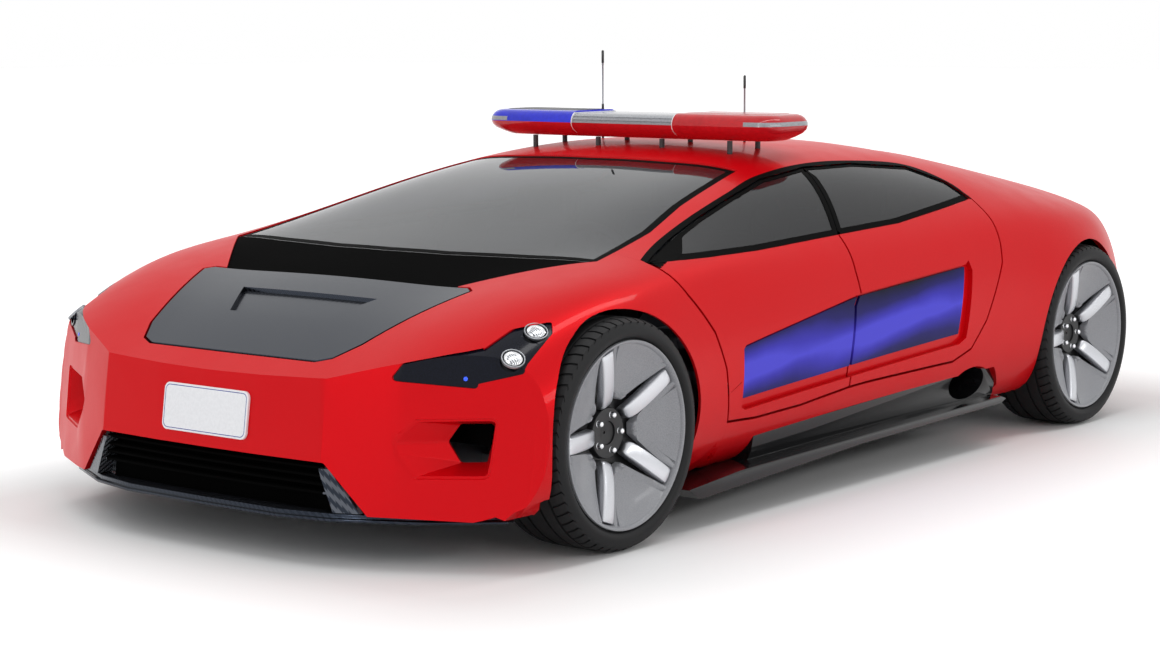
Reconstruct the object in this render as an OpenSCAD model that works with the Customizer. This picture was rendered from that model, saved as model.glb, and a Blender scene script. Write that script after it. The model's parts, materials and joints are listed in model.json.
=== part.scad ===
// Low electric patrol car with a beacon bar on the roof.
// The painted panels and the glass are all cut from one smooth skin, so they stay flush.
// Origin on the floor midway between the axles, +X forward, +Y to the car's left, +Z up, millimetres.

/* [Body] */
// distance between the front and the rear axle
wheelbase = 2750; // [2400:10:3100]
// width that the skin's side shares are taken of
body_w = 2020; // [1800:10:2200]
// height that the skin's height shares are taken of
roof_h = 1045; // [950:5:1200]
// wall of the painted shells
wall = 22; // [14:1:30]
// gap round the panels that move
seam = 8; // [7:0.5:10]
// gap between fixed pieces that only meet
fit_gap = 0.4; // [0.3:0.1:1]
// height of the middle of the air scoop in the sill
sill_z = 236; // [220:2:250]
// half the height of the air scoop in the sill
sill_scoop_h = 58; // [40:2:70]
// lower edge of the nose
nose_z = 150; // [130:2:180]
// lower edge of the tail behind the rear wheels
tail_z = 215; // [180:5:260]
// lean of the nose and the tail from upright, degrees
nose_lean = 8; // [0:0.5:12]
// overrun of every cut past the faces it goes through
over = 40; // [20:1:60]

/* [Wheels] */
// outside diameter of the tyre
tyre_d = 656; // [600:2:700]
// width of the tyre
tyre_w = 255; // [215:5:295]
// height of the tyre's wall
tyre_h = 69; // [55:1:90]
// height of the rim's lips over the bead seat
lip_h = 7; // [5:0.5:10]
// distance of a wheel's middle plane from the body's side
track_in = 148; // [140:2:180]
// gap between the tyre and the arch cut in the skin
arch_gap = 20; // [14:1:30]
// skin left at the edge of the front arches
lip_skin = 9; // [7:0.5:14]
// gap between the tyre and the well behind the arch
well_gap = 36; // [32:1:50]
// depth of a wheel well inward from the wheel's middle plane
well_in = 292; // [260:2:300]
// distance of the steering axis inward from the wheel's middle plane
king_in = 42; // [40:1:46]
// radius of the steering pivot pin
king_r = 8; // [6:0.5:9]
// radius of the stub axle
stub_r = 30; // [20:1:40]
// running gap between the stub axle and the wheel's bore
stub_gap = 0.5; // [0.3:0.1:1]
// gap between the carrier's face and the wheel's hub
hub_gap = 7; // [5:0.5:12]
// thickness of a wheel carrier
carrier_t = 48; // [40:1:56]
// distance of the hub's inner face from the wheel's middle plane
hub_in = 20; // [16:1:24]
// radius of the wheel's black hub
hub_r = 74; // [60:1:90]
// radius of a wheel nut
nut_r = 9; // [7:0.5:12]
// radius of the circle of wheel nuts
nut_circle = 52; // [45:1:60]
// width of a spoke bar at the hub
spoke_w = 54; // [40:1:70]
// height of the wheel's hub
hub_h = 46; // [40:1:60]
// height of the rim's lips along the axle
lip_t = 9; // [6:0.5:12]
// wall of the rim's barrel
barrel_t = 9; // [6:0.5:12]

/* [Doors] */
// thickness of a door
door_t = 80; // [60:2:95]
// room cut from the front top corner of the front doors for their swing
tip_r = 16; // [10:1:20]
// thickness of a door's outer flange, past the door's inner box
flange_t = 26; // [22:1:32]
// width of a door's outer flange
flange_w = 26; // [20:1:34]
// thickness of the glass
glass_t = 6; // [4:0.5:8]
// depth of the glass below the skin
glass_drop = 5; // [3:0.5:8]
// depth of the sign pocket in a door
sign_depth = 16; // [10:1:24]
// thickness of a sign panel
sign_t = 9; // [5:1:12]
// gap between a sign and the edge of its door
sign_rim = 3; // [2:0.5:6]

/* [Hinges] */
// radius of a hinge pin
pin_r = 5; // [4:0.5:6]
// running gap round a hinge pin
pin_gap = 0.4; // [0.3:0.1:0.8]
// wall of the eye round a hinge pin
eye_t = 4; // [3:0.5:5]
// height of a hinge arm
arm_h = 34; // [24:1:40]
// how far a pin stands out of its arm at each end
pin_out = 14; // [10:1:20]
// place of the front doors' hinge line where it is pin_z high: ahead of the middle
front_pin_x = 774; // [760:1:785]
// place of the rear doors' hinge line where it is pin_z high: behind the middle
rear_pin_x = 540; // [535:1:560]
// distance of both hinge lines from the body's side at that height
pin_in = 52; // [48:0.5:54]
// height at which the hinge lines' places are given
pin_z = 300; // [290:1:310]
// forward lean of the front hinge line, degrees
front_pin_lean = 22.5; // [20:0.5:25]
// backward lean of the rear hinge line, degrees
rear_pin_lean = 9; // [8:0.5:12]
// inward lean of the rear hinge line, degrees
rear_pin_tuck = 2.5; // [1.5:0.5:3]
// distance along the hinge line of the front door's lower hinge
front_low = 130; // [110:1:150]
// distance along the hinge line of the front door's upper hinge
front_high = 240; // [220:1:255]
// distance along the hinge line of the rear door's lower hinge
rear_low = 150; // [120:1:180]
// distance along the hinge line of the rear door's upper hinge
rear_high = 310; // [280:1:330]
// thickness of a door post
post_t = 56; // [40:1:60]
// distance of a door post from the battery's edge
post_in = 20; // [10:1:40]
// length of a door post
post_l = 120; // [90:1:160]
// width of the front boot
tub_w = 640; // [560:10:700]
// wall of the front boot
tub_t = 8; // [5:1:12]
// radius of the lid's hinge pin
lid_pin_r = 3; // [2.5:0.5:4]
// depth of the lid's hinge pin below the skin
lid_pin_depth = 10; // [8:0.5:12]
// distance of the lid's hinges from the middle plane
lid_pin_y = 290; // [250:2:300]
// height of the lid's hinge line
lid_pin_z = 694; // [692:0.5:697]
// place of the lid's hinge line ahead of the middle
lid_pin_x = 1552; // [1545:1:1560]

/* [Front] */
// thickness of the front lid
lid_t = 20; // [14:1:26]
// depth of the scoop in the front lid
scoop_depth = 12; // [6:1:16]
// thickness of the cowl panel
cowl_t = 12; // [8:1:18]
// room at the cowl's front edge for the lid's swing
lid_room = 2; // [1.5:0.5:4]
// depth of a headlamp behind the skin
lamp_depth = 60; // [40:2:80]
// radius at the corners of the lamp outlines
lamp_r = 10; // [6:1:16]
// radius of a projector in a headlamp
projector_r = 30; // [22:1:36]
// wall of the ring round a projector
bezel_t = 7; // [4:0.5:10]
// turn of the projectors outward, degrees
projector_out = 30; // [10:1:45]
// tilt of the projectors upward, degrees
projector_up = 18; // [0:1:40]
// thickness of the splitter
splitter_t = 21; // [16:1:26]
// thickness of the splitter's lower lip
splitter_lip = 9; // [6:1:12]
// step back from the lower lip to the upper tier
splitter_step = 12; // [8:1:18]
// thickness of one grille slat
slat_t = 9; // [6:1:14]
// depth of the grille from front to back
grille_deep = 70; // [50:2:90]
// width of the number plate
plate_w = 340; // [300:5:520]
// height of the number plate
plate_h = 132; // [110:2:140]
// thickness of the number plate
plate_t = 6; // [4:0.5:10]
// depth of the pocket in a front corner
pod_deep = 70; // [50:2:90]

/* [Rear] */
// depth of the diffuser from front to back
diffuser_deep = 344; // [300:4:380]
// slope of the diffuser's channels, degrees
diffuser_rise = 20; // [14:1:24]

/* [Roof] */
// length of the beacon bar across the car
bar_len = 1290; // [1100:10:1400]
// depth of the beacon bar from front to back
bar_deep = 270; // [220:5:320]
// height of the bar's lower housing
bar_base_h = 48; // [35:1:60]
// height of the bar's lenses
bar_lens_h = 40; // [30:1:55]
// step from the bar's housing to its lenses
bar_step = 6; // [4:0.5:10]
// height of the bar's underside
bar_z = 1074; // [1060:2:1120]
// radius of a foot under the bar
foot_r = 9; // [6:1:14]
// radius of an aerial
aerial_r = 4; // [3:0.5:6]
// height of the taller aerial's tip
aerial_z = 1364; // [1250:2:1450]

/* [Underbody] */
// underside of the battery
floor_z = 115; // [100:1:140]
// height of the battery
battery_h = 140; // [110:5:170]
// distance of the battery from the body's side
battery_in = 210; // [195:5:260]
// distance of the battery's ends from the axles
battery_end = 395; // [390:5:450]
// how far a jacking pad stands below the battery
pad_h = 20; // [12:1:25]
// radius of a jacking pad
pad_r = 45; // [35:1:60]
// width of the front drive unit
drive_w = 960; // [800:10:1000]
// height of the drive units
drive_h = 270; // [220:5:300]
// thickness of a suspension arm
arm_t = 26; // [18:1:36]
// wall of a wheel-well liner
liner_t = 5; // [3:0.5:8]

/* [Cabin] */
// width of a front seat
seat_w = 480; // [420:5:520]
// height of a seat's back
seat_back = 560; // [480:5:620]
// width of the centre console
console_w = 150; // [120:5:200]
// height of the centre console
console_h = 190; // [150:5:230]
// thickness of the console's upright
console_t = 110; // [80:5:140]
// width of the dashboard
dash_w = 1240; // [1100:10:1300]
// height of the dashboard
dash_h = 130; // [100:5:160]
// depth of the dashboard
dash_deep = 230; // [180:5:260]
// diameter of the steering wheel
helm_d = 360; // [320:5:390]
// lean of the steering column from upright, degrees
helm_lean = 70; // [60:1:80]
// radius of the steering wheel's rim
helm_r = 14; // [10:1:18]

/* [Hidden] */
paint = [0.78, 0.04, 0.06];
dark = [0.05, 0.05, 0.06];
grey = [0.35, 0.36, 0.38];
silver = [0.72, 0.73, 0.75];
pane = [0.12, 0.13, 0.16, 0.5];
beacon_red = [0.9, 0.05, 0.08];
beacon_blue = [0.1, 0.1, 0.9];
lamp_red = [0.6, 0.02, 0.02];
half_w = body_w / 2;
battery_w = body_w - 2 * battery_in;
battery_l = wheelbase - 2 * battery_end;
half_track = half_w - track_in;
king_y = half_track - king_in;
well_y = half_track - well_in;
pin_y = half_w - pin_in;
seat_d = tyre_d - 2 * tyre_h;
lip_d = seat_d + 2 * lip_h;
arch_r = tyre_d / 2 + arch_gap;
well_r = tyre_d / 2 + well_gap;
half_wb = wheelbase / 2;
wheel_z = tyre_d / 2;
$fn = 48;

// Skin: one row per station from nose to tail. Shares of half_wb, half_w and roof_h:
// station, sill y z, side y z, shoulder y z, belt y z, rail y z, top y z, crown z.
station_shares = [
    [1.64, 0.90, 0.10, 0.93, 0.29, 0.86, 0.38, 0.62, 0.38, 0.43, 0.38, 0.22, 0.38, 0.37],
    [1.45, 0.92, 0.10, 0.96, 0.29, 0.91, 0.45, 0.69, 0.50, 0.44, 0.49, 0.22, 0.49, 0.49],
    [1.25, 0.95, 0.10, 1.01, 0.32, 0.94, 0.58, 0.69, 0.65, 0.45, 0.63, 0.23, 0.63, 0.63],
    [1.00, 0.96, 0.10, 1.045, 0.40, 0.965, 0.70, 0.79, 0.74, 0.50, 0.72, 0.25, 0.73, 0.735],
    [0.73, 0.92, 0.10, 0.98, 0.42, 0.94, 0.66, 0.87, 0.76, 0.63, 0.81, 0.32, 0.82, 0.825],
    [0.40, 0.91, 0.11, 0.965, 0.44, 0.94, 0.66, 0.88, 0.755, 0.64, 0.92, 0.32, 0.94, 0.95],
    [0.00, 0.91, 0.11, 0.96, 0.45, 0.93, 0.67, 0.88, 0.76, 0.64, 0.985, 0.33, 1.015, 1.02],
    [-0.36, 0.92, 0.11, 0.965, 0.46, 0.94, 0.68, 0.87, 0.78, 0.63, 0.98, 0.33, 1.015, 1.025],
    [-0.69, 0.94, 0.11, 0.98, 0.48, 0.95, 0.71, 0.88, 0.80, 0.62, 0.925, 0.33, 0.965, 0.975],
    [-1.00, 0.96, 0.11, 1.045, 0.48, 0.975, 0.72, 0.86, 0.775, 0.60, 0.855, 0.32, 0.89, 0.90],
    [-1.25, 0.90, 0.13, 0.95, 0.46, 0.87, 0.70, 0.76, 0.75, 0.57, 0.80, 0.31, 0.83, 0.84],
    [-1.45, 0.78, 0.18, 0.82, 0.43, 0.72, 0.66, 0.64, 0.71, 0.50, 0.745, 0.28, 0.77, 0.78],
    [-1.64, 0.60, 0.22, 0.64, 0.40, 0.56, 0.60, 0.48, 0.65, 0.38, 0.68, 0.22, 0.70, 0.705]];
// columns of a station row
STATION = 0;
SILL = 1;
CROWN = 13;
under_share = 0.6;
function section(r) = concat(
    [[0, r[SILL + 1]], [r[SILL] * under_share, r[SILL + 1]]],
    [for (k = [SILL:2:CROWN - 2]) [r[k], r[k + 1]]],
    [[0, r[CROWN]]]);
net = [for (r = station_shares) [for (p = section(r))
    [r[STATION] * half_wb, p[0] * half_w, p[1] * roof_h]]];
last_u = len(net) - 1;
last_v = len(net[0]) - 1;
function flip_y(p) = [p[0], -p[1], p[2]];
function wide_row(r) = concat([flip_y(r[1])], r, [flip_y(r[last_v - 1])]);
cage = [for (r = concat([2 * net[0] - net[1]], net, [2 * net[last_u] - net[last_u - 1]])) wide_row(r)];
function weights(t) = [pow(1 - t, 3), 3 * pow(t, 3) - 6 * t * t + 4,
    -3 * pow(t, 3) + 3 * t * t + 3 * t + 1, pow(t, 3)] / 6;
function slopes(t) = [-pow(1 - t, 2), 3 * t * t - 4 * t, -3 * t * t + 2 * t + 1, t * t] / 2;
function blend(i, j, wu, wv) =
    wv * [for (b = [0:3]) wu * [for (a = [0:3]) cage[i + a][j + b]]];
// point of the left half at depth d below the skin
function half_skin(u, v, d) = let (i = min(floor(u), last_u - 1), j = min(floor(v), last_v - 1),
    s = u - i, t = v - j,
    along = blend(i, j, slopes(s), weights(t)), up = blend(i, j, weights(s), slopes(t)),
    n = cross(along, up))
    blend(i, j, weights(s), weights(t)) - d * n / norm(n);
function skin(u, v, d) = v <= last_v ? half_skin(u, v, d) : flip_y(half_skin(u, 2 * last_v - v, d));

// Grid of the skin: every piece samples it at the same lines.
u_div = 4;
v_div = 3;
mid_j = last_v * v_div;
function grid(i0, i1, j0, j1, d, step) =
    [for (i = [i0:step:i1]) for (j = [j0:step:j1]) skin(i / u_div, j / v_div, d)];
function quad(a, b, c, d, left) = left ? [[a, b, c], [a, c, d]] : [[a, b, d], [b, c, d]];

// a thick patch of the skin between two depths, with every step-th grid line
module patch(i0, i1, j0, j1, d0, d1, step = 1) {
    m = floor((j1 - j0) / step) + 1;
    n = floor((i1 - i0) / step);
    s = (n + 1) * m;
    outer = [for (i = [0:n - 1]) for (j = [0:m - 2])
        each quad(i * m + j, i * m + j + 1, (i + 1) * m + j + 1, (i + 1) * m + j, j0 + j * step < mid_j)];
    inner = [for (f = outer) [f[2] + s, f[1] + s, f[0] + s]];
    edge = concat([for (j = [0:m - 2]) [j, j + 1]],
        [for (i = [0:n - 1]) [i * m + m - 1, (i + 1) * m + m - 1]],
        [for (j = [m - 2:-1:0]) [n * m + j + 1, n * m + j]],
        [for (i = [n - 1:-1:0]) [(i + 1) * m, i * m]]);
    rim = [for (e = edge) each [[e[1], e[0], e[0] + s], [e[1], e[0] + s, e[1] + s]]];
    polyhedron(points = concat(grid(i0, i1, j0, j1, d0, step), grid(i0, i1, j0, j1, d1, step)),
        faces = concat(outer, inner, rim), convexity = 8);
}

// the whole closed body between two stations, at depth d, with every step-th grid line
module hull_body(i0, i1, d, step) {
    rows = [for (i = [i0:step:i1]) i];
    cols = [for (j = [0:step:2 * mid_j - 1]) j];
    m = len(cols);
    n = len(rows) - 1;
    ring = [for (i = rows) for (j = cols) skin(i / u_div, j / v_div, d)];
    c0 = (ring[0] + ring[m / 2]) / 2;
    c1 = (ring[n * m] + ring[n * m + m / 2]) / 2;
    side = [for (i = [0:n - 1]) for (j = [0:m - 1]) each quad(i * m + j, i * m + (j + 1) % m,
        (i + 1) * m + (j + 1) % m, (i + 1) * m + j, cols[j] < mid_j)];
    cap0 = [for (j = [0:m - 1]) [(j + 1) % m, j, (n + 1) * m]];
    cap1 = [for (j = [0:m - 1]) [n * m + j, n * m + (j + 1) % m, (n + 1) * m + 1]];
    polyhedron(points = concat(ring, [c0, c1]), faces = concat(side, cap0, cap1), convexity = 8);
}

// Outlines, as shares of half_wb and roof_h seen from the left.
front_line_shares = [[0.625, 0.284], [0.649, 0.438], [0.687, 0.546], [0.756, 0.656], [0.795, 0.743]];
front_top_shares = [[0.655, 0.788], [0.487, 0.840], [0.327, 0.885], [0.172, 0.924]];
split_shares = [[-0.022, 0.948], [0.103, 0.758], [0.100, 0.649], [0.091, 0.582], [0.111, 0.549],
    [0.130, 0.367], [0.130, 0.304]];
front_foot_shares = [[0.330, 0.282], [0.509, 0.276]];
rear_edge_shares = [[-0.219, 0.948], [-0.447, 0.924], [-0.538, 0.871], [-0.560, 0.823],
    [-0.564, 0.746], [-0.561, 0.676], [-0.554, 0.610], [-0.475, 0.434], [-0.411, 0.345],
    [-0.331, 0.314], [0.051, 0.308]];
belt_shares = [[0.95, 0.745], [0.795, 0.743], [0.646, 0.740], [0.431, 0.743], [0.103, 0.758],
    [-0.167, 0.769], [-0.548, 0.813], [-0.70, 0.83]];
// the sign across both doors, and the wider pocket round it
sign_shares = [[0.572, 0.487], [0.572, 0.341], [-0.350, 0.402], [-0.384, 0.614], [0.101, 0.574]];
pocket_shares = [[0.580, 0.484], [0.578, 0.318], [0.560, 0.307], [-0.350, 0.368], [-0.382, 0.385],
    [-0.412, 0.600], [-0.400, 0.634], [-0.384, 0.622], [0.101, 0.582], [0.570, 0.495]];
function from_side(t) = [for (p = t) [p[0] * half_wb, p[1] * roof_h]];
function from_top(t) = [for (p = t) [p[0] * half_wb, p[1] * half_w]];
function back_way(t) = [for (k = [len(t) - 1:-1:0]) t[k]];
// both halves of an outline seen from above
function both(t) = concat(t, [for (p = back_way(t)) if (p[1] > 0) [p[0], -p[1]]]);

module front_full() {
    polygon(from_side(concat(front_line_shares, front_top_shares, split_shares, front_foot_shares)));
}
module rear_full() {
    polygon(from_side(concat(rear_edge_shares, back_way(split_shares))));
}
belt_foot_shares = [[-0.70, 0.1], [0.95, 0.1]];
module below_belt(rise) {
    translate([0, rise])
        polygon(from_side(concat(belt_shares, belt_foot_shares)));
}
// the doorway: both door outlines, grown by half a seam with a round pen
module pen_line(t, r) {
    for (k = [0:len(t) - 1])
        hull()
            for (p = [t[k], t[(k + 1) % len(t)]])
                translate(p)
                    circle(r, $fn = 8);
}
// the front door's outline, trimmed along the foot of the windscreen pillar
module front_door_full() {
    difference() {
        front_full();
        pen_line(from_side([front_line_shares[4], front_top_shares[0]]), tip_r);
    }
}
module doorway() {
    front_full();
    rear_full();
    pen_line(from_side(concat(front_line_shares, front_top_shares, rear_edge_shares, [split_shares[6]],
        front_foot_shares)), seam / 2);
}
// a side outline pushed through the left flank
flank_share = 0.75;
module flank() {
    translate([0, half_w + over, 0])
        rotate([90, 0, 0])
            linear_extrude(height = half_w * flank_share)
                children();
}
// a side outline pushed through the whole width
module across() {
    translate([0, half_w + over, 0])
        rotate([90, 0, 0])
            linear_extrude(height = body_w + 2 * over)
                children();
}
// an outline drawn as y and z, pushed back from the nose to x
module nose_cut(x) {
    translate([x, 0, 0])
        rotate([90, 0, 90])
            linear_extrude(height = half_wb)
                children();
}
// an outline drawn as x and y, pushed up from height z
module plan_cut(z) {
    translate([0, 0, z])
        linear_extrude(height = roof_h)
            children();
}
module mirrored() {
    children();
    mirror([0, 1, 0])
        children();
}

// Ends: outlines seen from above, leaning back with height.
nose_shares = [[1.491, 0], [1.489, 0.198], [1.480, 0.436], [1.418, 0.634], [1.338, 0.822],
    [1.269, 0.975], [1.229, 1.064]];
tail_shares = [[-1.511, 0], [-1.504, 0.25], [-1.479, 0.446], [-1.439, 0.614], [-1.389, 0.752],
    [-1.323, 0.87], [-1.21, 1.064]];
nose_back_shares = [[-1, 1.1]];
tail_back_shares = [[1, 1.1]];
lean_z_share = 0.277;
lean_h_share = 1.5;
module leaning(way) {
    translate([0, 0, lean_z_share * roof_h])
        multmatrix([[1, 0, -way * tan(nose_lean), 0], [0, 1, 0, 0], [0, 0, 1, 0]])
            translate([0, 0, -roof_h / 2])
                linear_extrude(height = lean_h_share * roof_h)
                    children();
}
module nose_block(inset) {
    leaning(1)
        translate([-inset, 0])
            outline_of(concat(nose_shares, nose_back_shares));
}
module tail_block(inset) {
    leaning(-1)
        translate([inset, 0])
            outline_of(concat(tail_shares, tail_back_shares));
}
front_split_shares = [[0.625, 0.05], [0.625, 0.284], [0.649, 0.438], [0.687, 0.546],
    [0.756, 0.656], [0.795, 0.743], [0.87, 0.835], [0.87, 1.3]];
ahead_shares = [[1.8, 1.3], [1.8, 0.05]];
behind_shares = [[-1.8, 1.3], [-1.8, 0.05]];
module ahead_of_doors() {
    polygon(from_side(concat(front_split_shares, ahead_shares)));
}
module behind_split() {
    translate([-fit_gap, 0])
        polygon(from_side(concat(front_split_shares, behind_shares)));
}

// Openings seen from above.
screen_shares = [[0.938, 0], [0.932, 0.227], [0.905, 0.495], [0.873, 0.728], [0.655, 0.693],
    [0.487, 0.634], [0.327, 0.594], [0.182, 0.554], [0.207, 0.297], [0.218, 0]];
cowl_front_shares = [[1.0935, 0], [1.0935, 0.465], [0.873, 0.728]];
screen_side_shares = [[0.655, 0.693], [0.6, 0.55], [0.6, 0]];
cowl_back_shares = [[0.938, 0], [0.932, 0.227], [0.905, 0.495]];
lid_shares = [[1.407, 0], [1.407, 0.33], [1.393, 0.375], [1.345, 0.42], [1.113, 0.535],
    [1.098, 0.51], [1.098, 0]];
scoop_shares = [[1.277, 0], [1.277, 0.19], [1.180, 0.27], [1.180, 0]];
rear_glass_shares = [[-0.45, 0], [-0.46, 0.40], [-0.52, 0.47], [-0.98, 0.44], [-1.05, 0.38], [-1.06, 0]];
module outline_of(t) {
    polygon(both(from_top(t)));
}

// Openings seen from the front, as shares of half_w and roof_h: each a stretched row of discs.
lamp_low_shares = [[0.615, 0.500], [0.635, 0.528], [0.80, 0.565], [0.80, 0.485]];
lamp_high_shares = [[0.79, 0.492], [0.903, 0.522], [0.886, 0.597], [0.868, 0.619], [0.822, 0.606]];
mouth_shares = [[-0.44, 0.266], [0.44, 0.266], [0.575, 0.125], [-0.575, 0.125]];
mouth_back_share = 1.2;
tail_lamp_shares = [[0.10, 0.655], [0.10, 0.625], [0.66, 0.600], [0.68, 0.630], [0.62, 0.650]];
tail_mouth_shares = [[-0.56, 0.29], [0.56, 0.29], [0.60, 0.15], [-0.60, 0.15]];
function from_front(t) = [for (p = t) [p[0] * half_w, p[1] * roof_h]];
module blob(t, r) {
    hull()
        for (p = from_front(t))
            translate(p)
                circle(r, $fn = 12);
}
module lamp_outline(r) {
    blob(lamp_low_shares, r);
    blob(lamp_high_shares, r);
}

// Painted shells.
// heights above which the openings of the lid and of the roof are cut, and ends of the level cuts
lid_cut_share = 0.4;
roof_cut_share = 0.55;
lamp_back_share = 1.05;
tail_cut_share = 2.2;
front_i0 = 1;
front_i1 = 20;
main_i0 = 12;
main_i1 = 47;
module arch(x) {
    translate([x, 0, wheel_z])
        rotate([90, 0, 0])
            cylinder(r = arch_r, h = body_w + 2 * over, center = true, $fn = 72);
}
// height up to which the front arches are cut to the full well
lip_low_share = 0.3;
module well(x) {
    translate([x, 0, wheel_z])
        rotate([90, 0, 0])
            cylinder(r = well_r + liner_t + fit_gap, h = body_w + 2 * over, center = true, $fn = 72);
}
// Corner pods: funnels square to the slanting part of the nose, ending in a vent.
pod_turn = 30;
pod_at_shares = [1.378, 0.728];
pod_shares = [[-0.2115, 0.335], [-0.154, 0.392], [0.160, 0.402], [0.135, 0.250], [-0.1086, 0.246]];
vent_shares = [[0.030, 0.330], [0.058, 0.368], [0.135, 0.370], [0.128, 0.330], [0.116, 0.287],
    [0.058, 0.285]];
module at_pod(x) {
    translate([pod_at_shares[0] * half_wb, pod_at_shares[1] * half_w, 0])
        rotate([0, 0, pod_turn])
            translate([x, 0, 0])
                rotate([90, 0, 90])
                    children();
}
module funnel(grow) {
    hull() {
        at_pod(over)
            linear_extrude(height = fit_gap)
                blob(pod_shares, lamp_r + grow);
        at_pod(-pod_deep - grow)
            linear_extrude(height = fit_gap)
                blob(vent_shares, lamp_r + grow);
    }
}
module pod() {
    difference() {
        intersection() {
            funnel(wall / 2);
            nose_block(wall / 4);
        }
        funnel(0);
        at_pod(-pod_deep - wall)
            linear_extrude(height = 2 * wall)
                blob(vent_shares, lamp_r);
    }
}
module front_shell() {
    color(paint) {
        mirrored()
            pod();
        front_skin();
    }
}
module front_skin() {
    difference() {
        intersection() {
            hull_body(front_i0, front_i1, 0, 1);
            nose_block(0);
            across()
                ahead_of_doors();
        }
        intersection() {
            hull_body(front_i0 - 1, front_i1 + 2, wall, 2);
            nose_block(wall);
        }
        arch(half_wb);
        intersection() {
            well(half_wb);
            hull_body(front_i0, front_i1, lip_skin, 1);
            nose_block(lip_skin);
        }
        intersection() {
            well(half_wb);
            translate([0, -body_w, 0])
                cube([wheelbase, 2 * body_w, lip_low_share * tyre_d]);
        }
        across()
            doorway();
        translate([0, -body_w, nose_z - roof_h])
            cube([wheelbase, 2 * body_w, roof_h]);
        translate([0, -battery_w / 2 - fit_gap, 0])
            cube([battery_l / 2 + fit_gap, battery_w + 2 * fit_gap, cabin_z]);
        plan_cut(roof_h * lid_cut_share)
            offset(delta = seam)
                outline_of(lid_shares);
        plan_cut(roof_h * lid_cut_share)
            offset(delta = fit_gap)
                outline_of(concat(cowl_front_shares, screen_side_shares));
        mirrored()
            nose_cut(half_wb * lamp_back_share)
                lamp_outline(lamp_r);
        nose_cut(half_wb * mouth_back_share)
            blob(mouth_shares, lamp_r);
        mirrored()
            funnel(wall / 4);
    }
}
// the sill's lower edge, rising to the rear, and the room below it
sill_line_shares = [[0.500, 0.100], [0.490, 0.217], [-0.13, 0.250], [-0.545, 0.266], [-0.600, 0.200]];
sill_foot_shares = [[-0.600, -0.2], [0.500, -0.2]];
module below_sill(drop) {
    translate([0, -drop])
        polygon(from_side(concat(sill_line_shares, sill_foot_shares)));
}
sill_roof_shares = [[-0.600, 0.5], [0.500, 0.5]];
module above_sill() {
    polygon(from_side(concat(sill_line_shares, sill_roof_shares)));
}
// air scoop in the sill ahead of the rear wheel
scoop_x_share = -0.445;
scoop_long_share = 2;
module sill_scoop() {
    translate([scoop_x_share * half_wb, 0, sill_z])
        rotate([90, 0, 0])
            scale([scoop_long_share, 1, 1])
                cylinder(r = sill_scoop_h, h = body_w + 2 * over, center = true);
}
module main_shell() {
    color(paint)
        difference() {
            intersection() {
                hull_body(main_i0, main_i1, 0, 1);
                tail_block(0);
                across()
                    behind_split();
            }
            intersection() {
                hull_body(main_i0 - 2, main_i1, wall, 2);
                tail_block(wall);
            }
            across()
                doorway();
            arch(-half_wb);
            sill_scoop();
            across()
                below_sill(0);
            translate([-half_wb, -body_w, nose_z - roof_h])
                cube([wheelbase, 2 * body_w, roof_h]);
            translate([-battery_l / 2 - fit_gap, -battery_w / 2 - fit_gap, 0])
                cube([battery_l + 2 * fit_gap, battery_w + 2 * fit_gap, cabin_z]);
            translate([-wheelbase, -body_w, tail_z - roof_h])
                cube([half_wb, 2 * body_w, roof_h]);
            plan_cut(roof_h * roof_cut_share)
                offset(delta = fit_gap)
                    outline_of(screen_shares);
            plan_cut(roof_h * roof_cut_share)
                offset(delta = fit_gap)
                    outline_of(rear_glass_shares);
            mirrored()
                nose_cut(-half_wb * tail_cut_share)
                    blob(tail_lamp_shares, lamp_r);
            nose_cut(-half_wb * tail_cut_share)
                blob(tail_mouth_shares, lamp_r);
        }
}

// Doors: panel below the belt, glass above it, sign panel in a pocket.
door_i0 = 12;
door_i1 = 35;
door_j0 = 7;
door_j1 = 17;
glass_j0 = 12;
glass_j1 = 19;
sign_j0 = 7;
sign_j1 = 13;
module panel_of() {
    intersection() {
        offset(delta = -seam / 2)
            children();
        below_belt(0);
    }
}
module pane_of() {
    difference() {
        offset(delta = -seam / 2)
            children();
        below_belt(fit_gap);
    }
}
// an outer flange with the door's outline, and a narrower inner box
module door_body(i0, i1, s0, s1) {
    difference() {
        union() {
            intersection() {
                patch(i0, i1, door_j0, door_j1, 0, flange_t);
                flank()
                    panel_of()
                        children();
            }
            intersection() {
                patch(i0, i1, door_j0, door_j1, flange_t / 2, door_t, 2);
                flank()
                    offset(delta = -flange_w)
                        panel_of()
                            children();
            }
        }
        intersection() {
            patch(s0, s1, sign_j0, sign_j1, -over, sign_depth);
            flank()
                polygon(from_side(pocket_shares));
        }
    }
}
module glass_body(i0, i1) {
    intersection() {
        patch(i0, i1, glass_j0, glass_j1, glass_drop, glass_drop + glass_t);
        flank()
            pane_of()
                children();
    }
}
module sign_body(s0, s1) {
    intersection() {
        patch(s0, s1, sign_j0, sign_j1, sign_depth - sign_t, sign_depth);
        flank()
            intersection() {
                polygon(from_side(sign_shares));
                offset(delta = -seam / 2 - sign_rim)
                    children();
            }
    }
}
front_end = 25;
rear_start = 22;
front_sign_i = 17;
rear_sign_i = 31;
// hinge lines: local Z runs up the line, local Y outward
module front_hinge(t) {
    translate([front_pin_x, pin_y, pin_z])
        rotate([0, front_pin_lean, 0])
            translate([0, 0, t])
                children();
}
module rear_hinge(t) {
    translate([-rear_pin_x, pin_y, pin_z])
        rotate([rear_pin_tuck, -rear_pin_lean, 0])
            translate([0, 0, t])
                children();
}
eye_r = pin_r + eye_t;
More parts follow.
